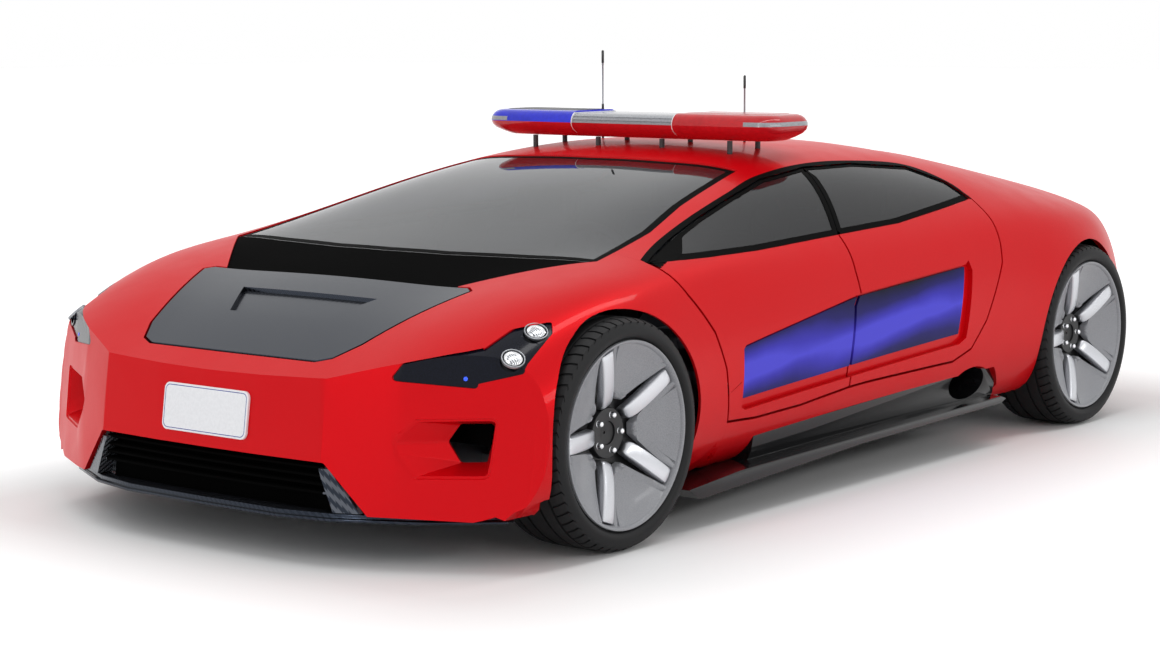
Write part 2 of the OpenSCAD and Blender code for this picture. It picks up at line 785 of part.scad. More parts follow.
// room in a door for one hinge: a mortise that opens towards the door's hinge edge, and the pin's bore
module hinge_room(way) {
    w = 2 * post_l;
    translate([way > 0 ? -eye_r - fit_gap : eye_r + fit_gap - w, -w, -arm_h / 2 - 2 * fit_gap])
        cube([w, w + eye_r + fit_gap, arm_h + 4 * fit_gap]);
    cylinder(r = pin_r + pin_gap, h = arm_h + 2 * (pin_out + pin_gap), center = true);
}
// one hinge arm with its pin, reaching in to the post
module hinge_arm(reach) {
    cylinder(r = eye_r, h = arm_h, center = true);
    cylinder(r = pin_r, h = arm_h + 2 * pin_out, center = true);
    translate([-eye_r, -reach, -arm_h / 2])
        cube([2 * eye_r, reach, arm_h]);
}
module front_door() {
    color(paint)
        difference() {
            door_body(door_i0, front_end, front_sign_i, front_end)
                front_door_full();
            for (t = [front_low, front_high])
                front_hinge(t)
                    hinge_room(1);
        }
}
module rear_door() {
    color(paint)
        difference() {
            door_body(rear_start, door_i1, rear_start, rear_sign_i)
                rear_full();
            for (t = [rear_low, rear_high])
                rear_hinge(t)
                    hinge_room(-1);
        }
}
// Door posts on the battery's edge carry the hinge arms.
post_top_share = 1.2;
post_top = arm_h * post_top_share;
module post(x, h) {
    translate([x - post_l / 2, battery_w / 2 - post_in - post_t, cabin_z])
        cube([post_l, post_t, h - cabin_z]);
}
module door_posts() {
    color(grey)
        mirrored() {
            for (t = [front_low, front_high])
                front_hinge(t)
                    hinge_arm(pin_y - battery_w / 2 + post_in + post_t / 2);
            post(front_pin_x + sin(front_pin_lean) * (front_low + front_high) / 2,
                pin_z + cos(front_pin_lean) * front_high + post_top);
            for (t = [rear_low, rear_high])
                rear_hinge(t)
                    hinge_arm(pin_y - battery_w / 2 + post_in + post_t / 2);
            post(-rear_pin_x - sin(rear_pin_lean) * (rear_low + rear_high) / 2,
                pin_z + cos(rear_pin_lean) * rear_high + post_top);
        }
}
module door_fl() {
    front_door();
}
module door_fr() {
    mirror([0, 1, 0])
        front_door();
}
module door_rl() {
    rear_door();
}
module door_rr() {
    mirror([0, 1, 0])
        rear_door();
}
module front_glass() {
    color(pane)
        glass_body(door_i0, front_end)
            front_door_full();
}
module rear_glass() {
    color(pane)
        glass_body(rear_start, door_i1)
            rear_full();
}
module glass_fl() {
    front_glass();
}
module glass_fr() {
    mirror([0, 1, 0])
        front_glass();
}
module glass_rl() {
    rear_glass();
}
module glass_rr() {
    mirror([0, 1, 0])
        rear_glass();
}
sign_blue = [0.25, 0.2, 0.95];
module front_sign_panel() {
    color(sign_blue)
        sign_body(front_sign_i, front_end)
            front_full();
}
module rear_sign_panel() {
    color(sign_blue)
        sign_body(rear_start, rear_sign_i)
            rear_full();
}
module sign_fl() {
    front_sign_panel();
}
module sign_fr() {
    mirror([0, 1, 0])
        front_sign_panel();
}
module sign_rl() {
    rear_sign_panel();
}
module sign_rr() {
    mirror([0, 1, 0])
        rear_sign_panel();
}

// Lid, cowl and the two fixed windows.
top_j = 15;
lid_i0 = 4;
lid_i1 = 11;
scoop_i0 = 7;
scoop_i1 = 10;
scoop_j = 20;
cowl_i0 = 10;
cowl_i1 = 15;
screen_i0 = 12;
screen_i1 = 23;
back_i0 = 29;
back_i1 = 38;
module lid_hinge() {
    mirrored()
        translate([lid_pin_x, lid_pin_y, lid_pin_z])
            rotate([-90, 0, 0])
                children();
}
module lid() {
    color(dark)
        difference() {
            intersection() {
                patch(lid_i0, lid_i1, top_j, 2 * mid_j - top_j, 0, lid_t);
                plan_cut(roof_h * lid_cut_share)
                    outline_of(lid_shares);
            }
            intersection() {
                patch(scoop_i0, scoop_i1, scoop_j, 2 * mid_j - scoop_j, -over, scoop_depth);
                plan_cut(roof_h * lid_cut_share)
                    outline_of(scoop_shares);
            }
            lid_hinge() {
                cylinder(r = lid_pin_r + pin_gap, h = arm_h + 2 * (pin_out + pin_gap), center = true);
                translate([-2 * over, -lid_pin_r - eye_t - fit_gap, -arm_h / 2 - fit_gap])
                    cube([2 * over + lid_pin_r + eye_t + fit_gap, 2 * over, arm_h + 2 * fit_gap]);
            }
        }
}
module cowl() {
    color(dark)
        intersection() {
            patch(cowl_i0, cowl_i1, top_j - 1, 2 * mid_j - top_j + 1, glass_drop, glass_drop + cowl_t);
            plan_cut(roof_h * lid_cut_share)
                intersection() {
                    outline_of(concat(cowl_front_shares, back_way(cowl_back_shares)));
                    translate([cowl_front_shares[0][0] * half_wb - lid_room - wheelbase, -body_w])
                        square([wheelbase, 2 * body_w]);
                }
        }
}
module windscreen() {
    color(pane)
        intersection() {
            patch(screen_i0, screen_i1, top_j - 1, 2 * mid_j - top_j + 1, glass_drop, glass_drop + glass_t);
            plan_cut(roof_h * lid_cut_share)
                translate([-fit_gap, 0])
                    outline_of(screen_shares);
        }
}
module rear_window() {
    color(pane)
        intersection() {
            patch(back_i0, back_i1, top_j + 1, 2 * mid_j - top_j - 1, glass_drop, glass_drop + glass_t);
            plan_cut(roof_h * lid_cut_share)
                outline_of(rear_glass_shares);
        }
}

// Lamps, grille, splitter, plate.
// each lamp's case holds two projectors, their places as shares of half_wb, half_w and roof_h
lamp_i1 = 12;
projector_shares = [[1.270, 0.868, 0.541], [1.190, 0.858, 0.601]];
lens_share = 0.72;
module at_projectors() {
    for (p = projector_shares)
        translate([p[0] * half_wb, p[1] * half_w, p[2] * roof_h])
            rotate([0, 90 - projector_up, projector_out])
                children();
}
// a ring with the lens set back in it
module projector() {
    difference() {
        cylinder(r = projector_r + bezel_t, h = lamp_depth, center = true, $fn = 24);
        cylinder(r = projector_r, h = lamp_depth, $fn = 24);
    }
    cylinder(r = projector_r / 2, h = lamp_depth / 2 * lens_share, $fn = 16);
}
// the room of a lamp from depth d below the skin
module lamp_room(d) {
    intersection() {
        hull_body(front_i0, lamp_i1, d, 1);
        nose_block(d);
        nose_cut(half_wb * lamp_back_share)
            lamp_outline(lamp_r - fit_gap);
    }
}
module headlamps() {
    color(dark)
        mirrored()
            difference() {
                union() {
                    difference() {
                        lamp_room(glass_drop);
                        at_projectors()
                            cylinder(r = projector_r + bezel_t / 2, h = lamp_depth, $fn = 24);
                    }
                    intersection() {
                        lamp_room(glass_drop / 4);
                        at_projectors()
                            projector();
                    }
                }
                well(half_wb);
                intersection() {
                    hull_body(front_i0, lamp_i1 + 2, lamp_depth, 2);
                    nose_block(lamp_depth);
                    nose_cut(half_wb)
                        lamp_outline(2 * lamp_r);
                }
            }
}
// Grille: a back plate with slats, and an upright fin at each end of them.
slat_count = 4;
slat_low_share = 0.19;
slat_step_share = 0.021;
fin_shares = [[0.425, 0.258], [0.455, 0.258], [0.545, 0.1475], [0.475, 0.1475]];
module mouth() {
    intersection() {
        blob(mouth_shares, lamp_r - fit_gap);
        translate([-half_w, nose_z])
            square([body_w, roof_h]);
    }
}
module behind_nose(from, to) {
    intersection() {
        nose_cut(half_wb * mouth_back_share)
            mouth();
        difference() {
            nose_block(from);
            nose_block(to);
        }
        children();
    }
}
// one slat across the mouth, thinner toward the front
slat_x_shares = [1.38, 1.50];
slat_end_share = 0.45;
module slat(z) {
    hull() {
        translate([slat_x_shares[0] * half_wb, -half_w * slat_end_share, z])
            cube([slat_t, body_w * slat_end_share, slat_t]);
        translate([slat_x_shares[1] * half_wb, -half_w * slat_end_share, z + slat_t / 4])
            cube([slat_t, body_w * slat_end_share, slat_t / 2]);
    }
}
module grille() {
    color(dark) {
        behind_nose(grille_deep - slat_t, grille_deep)
            translate([0, -half_w, 0])
                cube([wheelbase, body_w, roof_h]);
        behind_nose(wall, grille_deep - slat_t / 2)
            for (k = [0:slat_count - 1])
                slat(roof_h * (slat_low_share + slat_step_share * k));
        behind_nose(slat_t, grille_deep - slat_t / 2)
            mirrored()
                nose_cut(half_wb)
                    hull()
                        polygon(from_front(fin_shares));
    }
}
splitter_shares = [[1.509, 0], [1.505, 0.30], [1.478, 0.47], [1.40, 0.68], [1.287, 0.865], [1.26, 0.86],
    [1.26, 0.50], [1.10, 0.45], [1.10, 0]];
module splitter() {
    color(dark)
        translate([0, 0, nose_z - fit_gap - splitter_t]) {
            linear_extrude(height = splitter_lip)
                outline_of(splitter_shares);
            linear_extrude(height = splitter_t)
                offset(delta = -splitter_step)
                    outline_of(splitter_shares);
        }
}
plate_z_share = 0.372;
module plate() {
    color(silver)
        difference() {
            intersection() {
                nose_block(-plate_t - fit_gap);
                translate([half_wb, -plate_w / 2, plate_z_share * roof_h - plate_h / 2])
                    cube([half_wb, plate_w, plate_h]);
            }
            nose_block(-fit_gap);
        }
}
module tail_lamps() {
    color(lamp_red)
        mirrored()
            intersection() {
                difference() {
                    tail_block(glass_drop);
                    tail_block(lamp_depth);
                }
                nose_cut(-half_wb * tail_cut_share)
                    blob(tail_lamp_shares, lamp_r - fit_gap);
            }
}
// channels in the diffuser's underside, as shares of half_wb, half_w and roof_h
channel_x_share = -1.5;
channel_step_share = 0.2;
channel_w_share = 0.17;
channel_h_share = 0.12;
module diffuser() {
    color(dark)
        difference() {
            intersection() {
                difference() {
                    tail_block(wall / 2);
                    tail_block(diffuser_deep);
                }
                nose_cut(-half_wb * tail_cut_share)
                    blob(tail_mouth_shares, lamp_r - fit_gap);
            }
            for (k = [-2:2])
                translate([half_wb * channel_x_share,
                        half_w * (channel_step_share * k - channel_w_share / 2), 0])
                    rotate([0, diffuser_rise, 0])
                        cube([half_wb, half_w * channel_w_share, roof_h * channel_h_share]);
        }
}
blade_share = 0.955;
skirt_shares = [0.865, 0.895, 0.918];
skirt_top_share = 0.29;
skirt_end_shares = [0.484, -0.592];
blade_shares = [[0.776, 0.119], [0.584, 0.139], [0.10, 0.153], [-0.19, 0.163], [-0.56, 0.167],
    [-0.585, 0.155], [-0.56, 0.143], [0.10, 0.126], [0.732, 0.085]];
module skirts() {
    y0 = battery_w / 2 + fit_gap;
    color(dark)
        mirrored() {
            difference() {
                translate([half_wb * skirt_end_shares[1], 0, 0])
                    rotate([90, 0, 90])
                        linear_extrude(height = half_wb * (skirt_end_shares[0] - skirt_end_shares[1]))
                            polygon([[y0, floor_z], [half_w * skirt_shares[0], floor_z],
                                [half_w * skirt_shares[1], (floor_z + sill_z) / 2],
                                [half_w * skirt_shares[2], roof_h * skirt_top_share],
                                [y0, roof_h * skirt_top_share]]);
                translate([0, 0, -fit_gap])
                    across()
                        above_sill();
                sill_scoop();
            }
            translate([0, half_w * blade_share, 0])
                rotate([90, 0, 0])
                    linear_extrude(height = half_w * blade_share - y0)
                        polygon(from_side(blade_shares));
        }
}
liner_share = 0.79;
rear_liner_share = 0.98;
liner_i0 = 32;
liner_i1 = 42;
liner_j0 = 6;
liner_j1 = 16;
module liner(x, r, reach) {
    difference() {
        translate([x, well_y, wheel_z])
            rotate([-90, 0, 0])
                cylinder(r = r + liner_t, h = reach - well_y);
        translate([x, well_y - over, wheel_z])
            rotate([-90, 0, 0])
                cylinder(r = r, h = half_w);
        translate([x - body_w, 0, -roof_h])
            cube([2 * body_w, body_w, roof_h + wheel_z]);
    }
}
module liners() {
    color(dark)
        mirrored() {
            liner(half_wb, well_r, half_w * liner_share);
            difference() {
                liner(-half_wb, well_r, half_w * rear_liner_share);
                patch(liner_i0, liner_i1, liner_j0, liner_j1, -3 * over, wall + fit_gap, 2);
            }
        }
}

// Underbody.
module battery() {
    color(grey)
        translate([-battery_l / 2, -battery_w / 2, floor_z])
            cube([battery_l, battery_w, battery_h]);
}
pad_x_share = 0.86;
pad_y_share = 0.86;
module jack_pads() {
    color(dark)
        for (sx = [-1, 1])
            for (sy = [-1, 1])
                translate([sx * pad_x_share * battery_l / 2, sy * pad_y_share * battery_w / 2,
                        floor_z - pad_h])
                    cylinder(r = pad_r, h = pad_h - fit_gap);
}
front_drive_end_share = 1.19;
rear_drive_end_share = 1.219;
module drive_units() {
    color(grey) {
        translate([battery_l / 2 + fit_gap, -drive_w / 2, nose_z])
            cube([front_drive_end_share * half_wb - battery_l / 2 - fit_gap, drive_w, drive_h]);
        translate([-rear_drive_end_share * half_wb, -drive_w / 2, nose_z])
            cube([rear_drive_end_share * half_wb - battery_l / 2 - fit_gap, drive_w, drive_h]);
    }
}
carrier_w = 2 * stub_r + arm_t;
carrier_h = 6 * stub_r;
hub_back = -hub_in;
// the wheel carrier on the left: a block with the stub axle, in wheel coordinates (axis +Z outward)
module carrier() {
    translate([-carrier_w / 2, -carrier_h / 2, hub_back - hub_gap - carrier_t])
        cube([carrier_w, carrier_h, carrier_t]);
    translate([0, 0, hub_back - hub_gap - carrier_t / 2])
        cylinder(r = stub_r, h = carrier_t / 2 + hub_gap + stub_r);
}
module at_wheel(x) {
    translate([x, half_track, wheel_z])
        rotate([-90, 0, 0])
            children();
}
// steering pivot: a pin on the lower arm, running in the knuckle
module king_pin(r, rise) {
    translate([half_wb, king_y, wheel_z - carrier_h / 2 - seam - rise])
        cylinder(r = r, h = carrier_h + seam + 2 * rise);
}
module knuckle() {
    difference() {
        at_wheel(half_wb)
            carrier();
        king_pin(king_r + pin_gap, over);
    }
}
module knuckle_l() {
    color(grey)
        knuckle();
}
module knuckle_r() {
    color(grey)
        mirror([0, 1, 0])
            knuckle();
}
module suspension() {
    color(grey)
        mirrored() {
            king_pin(king_r, arm_t / 2);
            translate([half_wb - carrier_w / 2, drive_w / 2 + fit_gap,
                    wheel_z - carrier_h / 2 - arm_t - seam])
                cube([carrier_w, king_y + king_r + eye_t - drive_w / 2, arm_t]);
            at_wheel(-half_wb)
                carrier();
            translate([-half_wb - carrier_w / 2, drive_w / 2 + fit_gap, wheel_z - carrier_h / 2])
                cube([carrier_w, half_track + hub_back - hub_gap - carrier_t / 2 - drive_w / 2, arm_t]);
        }
}
tub_h_share = 0.13;
tub_z = nose_z + drive_h + fit_gap;
tub_x_share = 1.115;
tub_l_share = 0.2;
module boot_tub() {
    color(dark) {
        translate([half_wb * tub_x_share, -tub_w / 2, tub_z])
            difference() {
                cube([half_wb * tub_l_share, tub_w, roof_h * tub_h_share]);
                translate([tub_t, tub_t, tub_t])
                    cube([half_wb * tub_l_share - 2 * tub_t, tub_w - 2 * tub_t, roof_h]);
            }
        lid_hinge() {
            cylinder(r = lid_pin_r + eye_t, h = arm_h, center = true);
            cylinder(r = lid_pin_r, h = arm_h + 2 * pin_out, center = true);
            translate([-lid_pin_r - eye_t, 0, -arm_h / 2])
                cube([2 * (lid_pin_r + eye_t), lid_pin_z - tub_z, arm_h]);
        }
    }
}

// Wheels, in wheel coordinates: axis +Z pointing outward, origin on the wheel's middle plane.
tyre_r = tyre_d / 2;
seat_r = seat_d / 2;
lip_r = lip_d / 2;
// tyre profile from bead to crown: shares of the wall's height, and of half the width
tyre_wall_shares = [[0, 0.88], [0.16, 0.88], [0.45, 1.0], [0.83, 0.94], [0.97, 0.79], [1.0, 0.48]];
bead_w = tyre_wall_shares[0][1] * tyre_w;
module tyre() {
    h = tyre_r - seat_r;
    right = [for (p = tyre_wall_shares) [seat_r + p[0] * h, p[1] * tyre_w / 2]];
    rotate_extrude($fn = 72)
        polygon(concat(right, [for (p = back_way(right)) [p[0], -p[1]]]));
}
// face plates and spokes: shares of lip_r, and of half the bead's width
plate_shares = [[0.955, 1.0], [0.80, 0.88], [0.60, 0.76], [0.40, 0.68]];
plate_under_shares = [[0.40, 0.36], [0.60, 0.56], [0.80, 0.74]];
spoke_shares = [[0.93, 0.97], [0.78, 0.87], [0.58, 0.76], [0.40, 0.66], [0.30, 0.52], [0.20, 0.20]];
spoke_under_shares = [[0.20, 0.02], [0.45, 0.30], [0.72, 0.58], [0.93, 0.84]];
function dish(t) = [for (p = t) [p[0] * lip_r, p[1] * bead_w / 2]];
module rim_profile() {
    half = bead_w / 2 + fit_gap;
    in_r = seat_r - fit_gap - barrel_t;
    polygon(concat([[in_r, -half - lip_t], [lip_r, -half - lip_t], [lip_r, -half],
        [seat_r - fit_gap, -half], [seat_r - fit_gap, half], [lip_r, half], [lip_r, half + lip_t]],
        dish(plate_shares), dish(plate_under_shares), [[in_r, bead_w / 2 - 2 * lip_t]]));
}
spoke_count = 5;
inner_share = 0.53;
slot_shares = [[0.20, 0.20], [0.45, 0.165], [0.72, 0.125], [0.80, 0.105]];
// the plates' square inner ends and the slots beside the spokes
module face_cut() {
    circle(inner_share * lip_r, $fn = spoke_count);
    for (k = [0:spoke_count - 1])
        rotate(k * 360 / spoke_count)
            polygon(concat([for (p = slot_shares) p * lip_r],
                [for (p = back_way(slot_shares)) [p[0], -p[1]] * lip_r]));
}
module spoke() {
    translate([0, spoke_w / 2, 0])
        rotate([90, 0, 0])
            linear_extrude(height = spoke_w)
                polygon(concat(dish(spoke_shares), dish(spoke_under_shares)));
}
module rim() {
    difference() {
        union() {
            difference() {
                rotate_extrude($fn = 72)
                    rim_profile();
                linear_extrude(height = bead_w)
                    face_cut();
            }
            for (k = [0:spoke_count - 1])
                rotate(k * 360 / spoke_count)
                    spoke();
            translate([0, 0, hub_back])
                cylinder(r = hub_r, h = hub_h);
            for (k = [0:spoke_count - 1])
                rotate((k + 0.5) * 360 / spoke_count)
                    translate([nut_circle, 0, hub_back + hub_h / 2])
                        cylinder(r = nut_r, h = hub_h / 2 + nut_r, $fn = 24);
        }
        translate([0, 0, hub_back - over])
            cylinder(r = stub_r + stub_gap, h = over + stub_r + seam);
    }
}
module tyre_fl() {
    color(dark)
        at_wheel(half_wb)
            tyre();
}
module tyre_fr() {
    color(dark)
        mirror([0, 1, 0])
            at_wheel(half_wb)
                tyre();
}
module tyre_rl() {
    color(dark)
        at_wheel(-half_wb)
            tyre();
}
module tyre_rr() {
    color(dark)
        mirror([0, 1, 0])
            at_wheel(-half_wb)
                tyre();
}
module rim_fl() {
    color(silver)
        at_wheel(half_wb)
            rim();
}
module rim_fr() {
    color(silver)
        mirror([0, 1, 0])
            at_wheel(half_wb)
                rim();
}
module rim_rl() {
    color(silver)
        at_wheel(-half_wb)
            rim();
}
module rim_rr() {
    color(silver)
        mirror([0, 1, 0])
            at_wheel(-half_wb)
                rim();
}

// Beacon bar and aerials.
bar_end_share = 0.80;
bar_nose_share = 0.45;
third_share = 0.33;
// the housing narrows downward, the lenses narrow upward
hull_shares = [0.80, 0.90];
dome_shares = [0.80, 0.955];
mid_deep_share = 0.86;
mid_high_share = 0.72;
module bar_outline(inset) {
    x = bar_deep / 2 - inset;
    y = bar_len / 2 - inset;
    polygon([[x, -y * bar_end_share], [x, y * bar_end_share],
        [x * bar_nose_share, y], [-x * bar_nose_share, y],
        [-x, y * bar_end_share], [-x, -y * bar_end_share],
        [-x * bar_nose_share, -y], [x * bar_nose_share, -y]]);
}
// a bar outline drawn out to height h, its top the given shares of its foot
module tapered(h, shares) {
    hull() {
        linear_extrude(height = fit_gap)
            children();
        translate([0, 0, h - fit_gap])
            linear_extrude(height = fit_gap)
                scale(shares)
                    children();
    }
}
module bar_base() {
    color(paint)
        translate([0, 0, bar_z + bar_base_h])
            mirror([0, 0, 1])
                tapered(bar_base_h, hull_shares)
                    bar_outline(0);
}
// feet in two rows between the roof and the bar
foot_x_share = 0.3;
foot_y_shares = [-0.64, -0.21, 0.21, 0.64];
roof_i0 = 22;
roof_i1 = 27;
roof_j = 18;
module bar_feet() {
    color(dark)
        difference() {
            for (sx = [-1, 1])
                for (y = foot_y_shares)
                    translate([sx * foot_x_share * bar_deep, y * bar_len / 2, bar_z - 2 * over])
                        cylinder(r = foot_r, h = 2 * over - fit_gap, $fn = 24);
            patch(roof_i0, roof_i1, roof_j, 2 * mid_j - roof_j, -fit_gap, 3 * over);
        }
}
module bar_lens(y0, y1, deep_share, high_share) {
    intersection() {
        translate([0, 0, bar_z + bar_base_h + fit_gap])
            scale([deep_share, 1, high_share])
                tapered(bar_lens_h, dome_shares)
                    bar_outline(bar_step);
        translate([-bar_len / 2, y0 * bar_len / 2, bar_z])
            cube([bar_len, (y1 - y0) * bar_len / 2 - fit_gap, bar_len]);
    }
}
module bar_red() {
    color(beacon_red)
        bar_lens(third_share, 1, 1, 1);
}
module bar_clear() {
    color(silver)
        bar_lens(-third_share, third_share, mid_deep_share, mid_high_share);
}
module bar_blue() {
    color(beacon_blue)
        bar_lens(-1, -third_share, 1, 1);
}
aerial_x_share = -0.145;
aerial_left_share = 0.274;
aerial_right_share = -0.331;
short_share = 0.94;
aerial_low_share = 0.9;
aerial_i0 = 24;
aerial_i1 = 28;
aerial_j = 19;
module aerial(y, top) {
    translate([aerial_x_share * half_wb, y * half_w, roof_h * aerial_low_share])
        cylinder(r = aerial_r, h = top - roof_h * aerial_low_share, $fn = 16);
}
module aerials() {
    color(dark)
        difference() {
            union() {
                aerial(aerial_right_share, aerial_z);
                aerial(aerial_left_share, aerial_z * short_share);
            }
            patch(aerial_i0, aerial_i1, aerial_j, 2 * mid_j - aerial_j, -fit_gap, 4 * over);
        }
}

// Cabin.
cabin_z = floor_z + battery_h + fit_gap;
seat_y_share = 0.37;
front_seat_share = 0.16;
rear_seat_share = -0.42;
// side view of a seat, as shares of its width and its back's height, from the front edge round
seat_shares = [[1.0, 0.02], [1.03, 0.16], [0.96, 0.215], [0.60, 0.17], [0.22, 0.15], [0.13, 0.22]];
rest_shares = [[-0.02, 0.60], [-0.19, 0.86], [-0.26, 0.94], [-0.27, 1.13], [-0.34, 1.16], [-0.41, 1.10],
    [-0.37, 0.90], [-0.24, 0.62], [-0.08, 0.12], [-0.02, 0.0]];
module seat(x, y) {
    translate([x, y + seat_w / 2, cabin_z])
        rotate([90, 0, 0])
            linear_extrude(height = seat_w)
                polygon([for (p = concat(seat_shares, rest_shares)) [p[0] * seat_w, p[1] * seat_back]]);
}
module seats() {
    color(dark)
        for (s = [-1, 1]) {
            seat(front_seat_share * half_wb, s * seat_y_share * half_w);
            seat(rear_seat_share * half_wb, s * seat_y_share * half_w);
        }
}
console_back_share = 0.1;
dash_z_share = 0.53;
dash_x_share = 0.62;
module dashboard() {
    color(dark) {
        translate([-console_back_share * half_wb, -console_w / 2, cabin_z])
            cube([battery_l / 2 + console_back_share * half_wb, console_w, console_h]);
        translate([battery_l / 2 - console_t, -console_w / 2, cabin_z])
            cube([console_t, console_w, dash_z_share * roof_h - cabin_z + dash_h / 2]);
        translate([dash_x_share * half_wb, -dash_w / 2, dash_z_share * roof_h])
            cube([dash_deep, dash_w, dash_h]);
        translate([dash_x_share * half_wb + over, seat_y_share * half_w,
                dash_z_share * roof_h + dash_h / 2])
            rotate([0, -helm_lean, 0]) {
                cylinder(r = helm_r, h = helm_d / 2);
                translate([0, 0, helm_d / 2])
                    rotate_extrude()
                        translate([helm_d / 2 - helm_r, 0])
                            circle(helm_r, $fn = 16);
                translate([-helm_d / 2 + helm_r, -helm_r, helm_d / 2 - helm_r / 2])
                    cube([helm_d - 2 * helm_r, 2 * helm_r, helm_r]);
            }
    }
}

front_shell();
main_shell();
lid();
cowl();
windscreen();
rear_window();
headlamps();
grille();
splitter();
plate();
tail_lamps();
diffuser();
skirts();
liners();
door_posts();
battery();
jack_pads();
drive_units();
suspension();
boot_tub();
seats();
dashboard();
bar_base();
bar_feet();
bar_blue();
bar_red();
bar_clear();
aerials();
door_fl();
door_fr();
door_rl();
door_rr();
glass_fl();
glass_fr();
glass_rl();
glass_rr();
sign_fl();
sign_fr();
sign_rl();
sign_rr();
knuckle_l();
knuckle_r();
tyre_fl();
tyre_fr();
tyre_rl();
tyre_rr();
rim_fl();
rim_fr();
rim_rl();
rim_rr();
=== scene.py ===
import json
import math

import bmesh
import bpy
import numpy as np
from mathutils import Matrix, Vector
from mathutils.bvhtree import BVHTree


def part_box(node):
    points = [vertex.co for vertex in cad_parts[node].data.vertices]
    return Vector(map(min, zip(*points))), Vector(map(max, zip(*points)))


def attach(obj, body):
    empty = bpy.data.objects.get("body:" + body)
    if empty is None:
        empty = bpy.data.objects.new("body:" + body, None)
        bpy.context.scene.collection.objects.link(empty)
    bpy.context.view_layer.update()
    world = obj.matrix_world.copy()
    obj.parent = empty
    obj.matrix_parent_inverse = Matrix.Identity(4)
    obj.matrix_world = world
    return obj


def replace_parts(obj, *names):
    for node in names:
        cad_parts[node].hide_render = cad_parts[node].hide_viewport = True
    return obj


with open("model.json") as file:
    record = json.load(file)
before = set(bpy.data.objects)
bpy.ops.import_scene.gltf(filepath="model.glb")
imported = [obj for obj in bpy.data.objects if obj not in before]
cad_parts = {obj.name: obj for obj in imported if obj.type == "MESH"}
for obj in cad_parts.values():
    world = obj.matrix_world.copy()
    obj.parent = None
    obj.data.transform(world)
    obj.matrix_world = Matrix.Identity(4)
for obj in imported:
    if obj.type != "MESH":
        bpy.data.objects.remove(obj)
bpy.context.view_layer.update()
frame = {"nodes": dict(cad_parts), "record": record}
nodes = frame["nodes"]
body_of = {n: b for b, ns in frame["record"]["behaviour"]["bodies"].items() for n in ns}

# The body skin: a uniform cubic B-spline over the CAD's own table of stations.
HWB, HW, RH = 1.375, 1.010, 1.045  # half wheelbase, half width, roof height
# x; sill y, z; waist y, z; shoulder y, z; belt y, z; rail y, z; crown y, z; top z; all as shares of the three above
STATIONS = np.array([
    [1.64, 0.90, 0.10, 0.93, 0.29, 0.86, 0.38, 0.62, 0.38, 0.43, 0.38, 0.22, 0.38, 0.37],
    [1.45, 0.92, 0.10, 0.96, 0.29, 0.91, 0.45, 0.69, 0.50, 0.44, 0.49, 0.22, 0.49, 0.49],
    [1.25, 0.95, 0.10, 1.01, 0.32, 0.94, 0.58, 0.69, 0.65, 0.45, 0.63, 0.23, 0.63, 0.63],
    [1.00, 0.96, 0.10, 1.045, 0.40, 0.965, 0.70, 0.79, 0.74, 0.50, 0.72, 0.25, 0.73, 0.735],
    [0.73, 0.92, 0.10, 0.98, 0.42, 0.94, 0.66, 0.87, 0.76, 0.63, 0.81, 0.32, 0.82, 0.825],
    [0.40, 0.91, 0.11, 0.965, 0.44, 0.94, 0.66, 0.88, 0.755, 0.64, 0.92, 0.32, 0.94, 0.95],
    [0.00, 0.91, 0.11, 0.96, 0.45, 0.93, 0.67, 0.88, 0.76, 0.64, 0.985, 0.33, 1.015, 1.02],
    [-0.36, 0.92, 0.11, 0.965, 0.46, 0.94, 0.68, 0.87, 0.78, 0.63, 0.98, 0.33, 1.015, 1.025],
    [-0.69, 0.94, 0.11, 0.98, 0.48, 0.95, 0.71, 0.88, 0.80, 0.62, 0.925, 0.33, 0.965, 0.975],
    [-1.00, 0.96, 0.11, 1.045, 0.48, 0.975, 0.72, 0.86, 0.775, 0.60, 0.855, 0.32, 0.89, 0.90],
    [-1.25, 0.90, 0.13, 0.95, 0.46, 0.87, 0.70, 0.76, 0.75, 0.57, 0.80, 0.31, 0.83, 0.84],
    [-1.45, 0.78, 0.18, 0.82, 0.43, 0.72, 0.66, 0.64, 0.71, 0.50, 0.745, 0.28, 0.77, 0.78],
    [-1.64, 0.60, 0.22, 0.64, 0.40, 0.56, 0.60, 0.48, 0.65, 0.38, 0.68, 0.22, 0.70, 0.705]])


def skin_cage():
    """Control points of the left half, with a mirrored row at each seam and one more station at each end."""
    rows = []
    for r in STATIONS:
        pts = [(0, r[2]), (r[1] * 0.6, r[2])] + [(r[k], r[k + 1]) for k in range(1, 12, 2)] + [(0, r[13])]
        rows.append([(r[0] * HWB, y * HW, z * RH) for y, z in pts])
    n = np.array(rows)
    flip = np.array([1.0, -1.0, 1.0])
    e = np.concatenate([2 * n[:1] - n[1:2], n, 2 * n[-1:] - n[-2:-1]], 0)
    return np.concatenate([e[:, 1:2] * flip, e, e[:, -2:-1] * flip], 1)


CAGE = skin_cage()
NU, NV = 12, 8


def weights(t):
    """Cubic B-spline weights of four neighbours."""
    return np.stack([(1 - t) ** 3, 3 * t ** 3 - 6 * t ** 2 + 4, -3 * t ** 3 + 3 * t ** 2 + 3 * t + 1, t ** 3], -1) / 6


def slopes(t):
    """The weights' first derivatives."""
    return np.stack([-(1 - t) ** 2, 3 * t ** 2 - 4 * t, -3 * t ** 2 + 2 * t + 1, t ** 2], -1) / 2


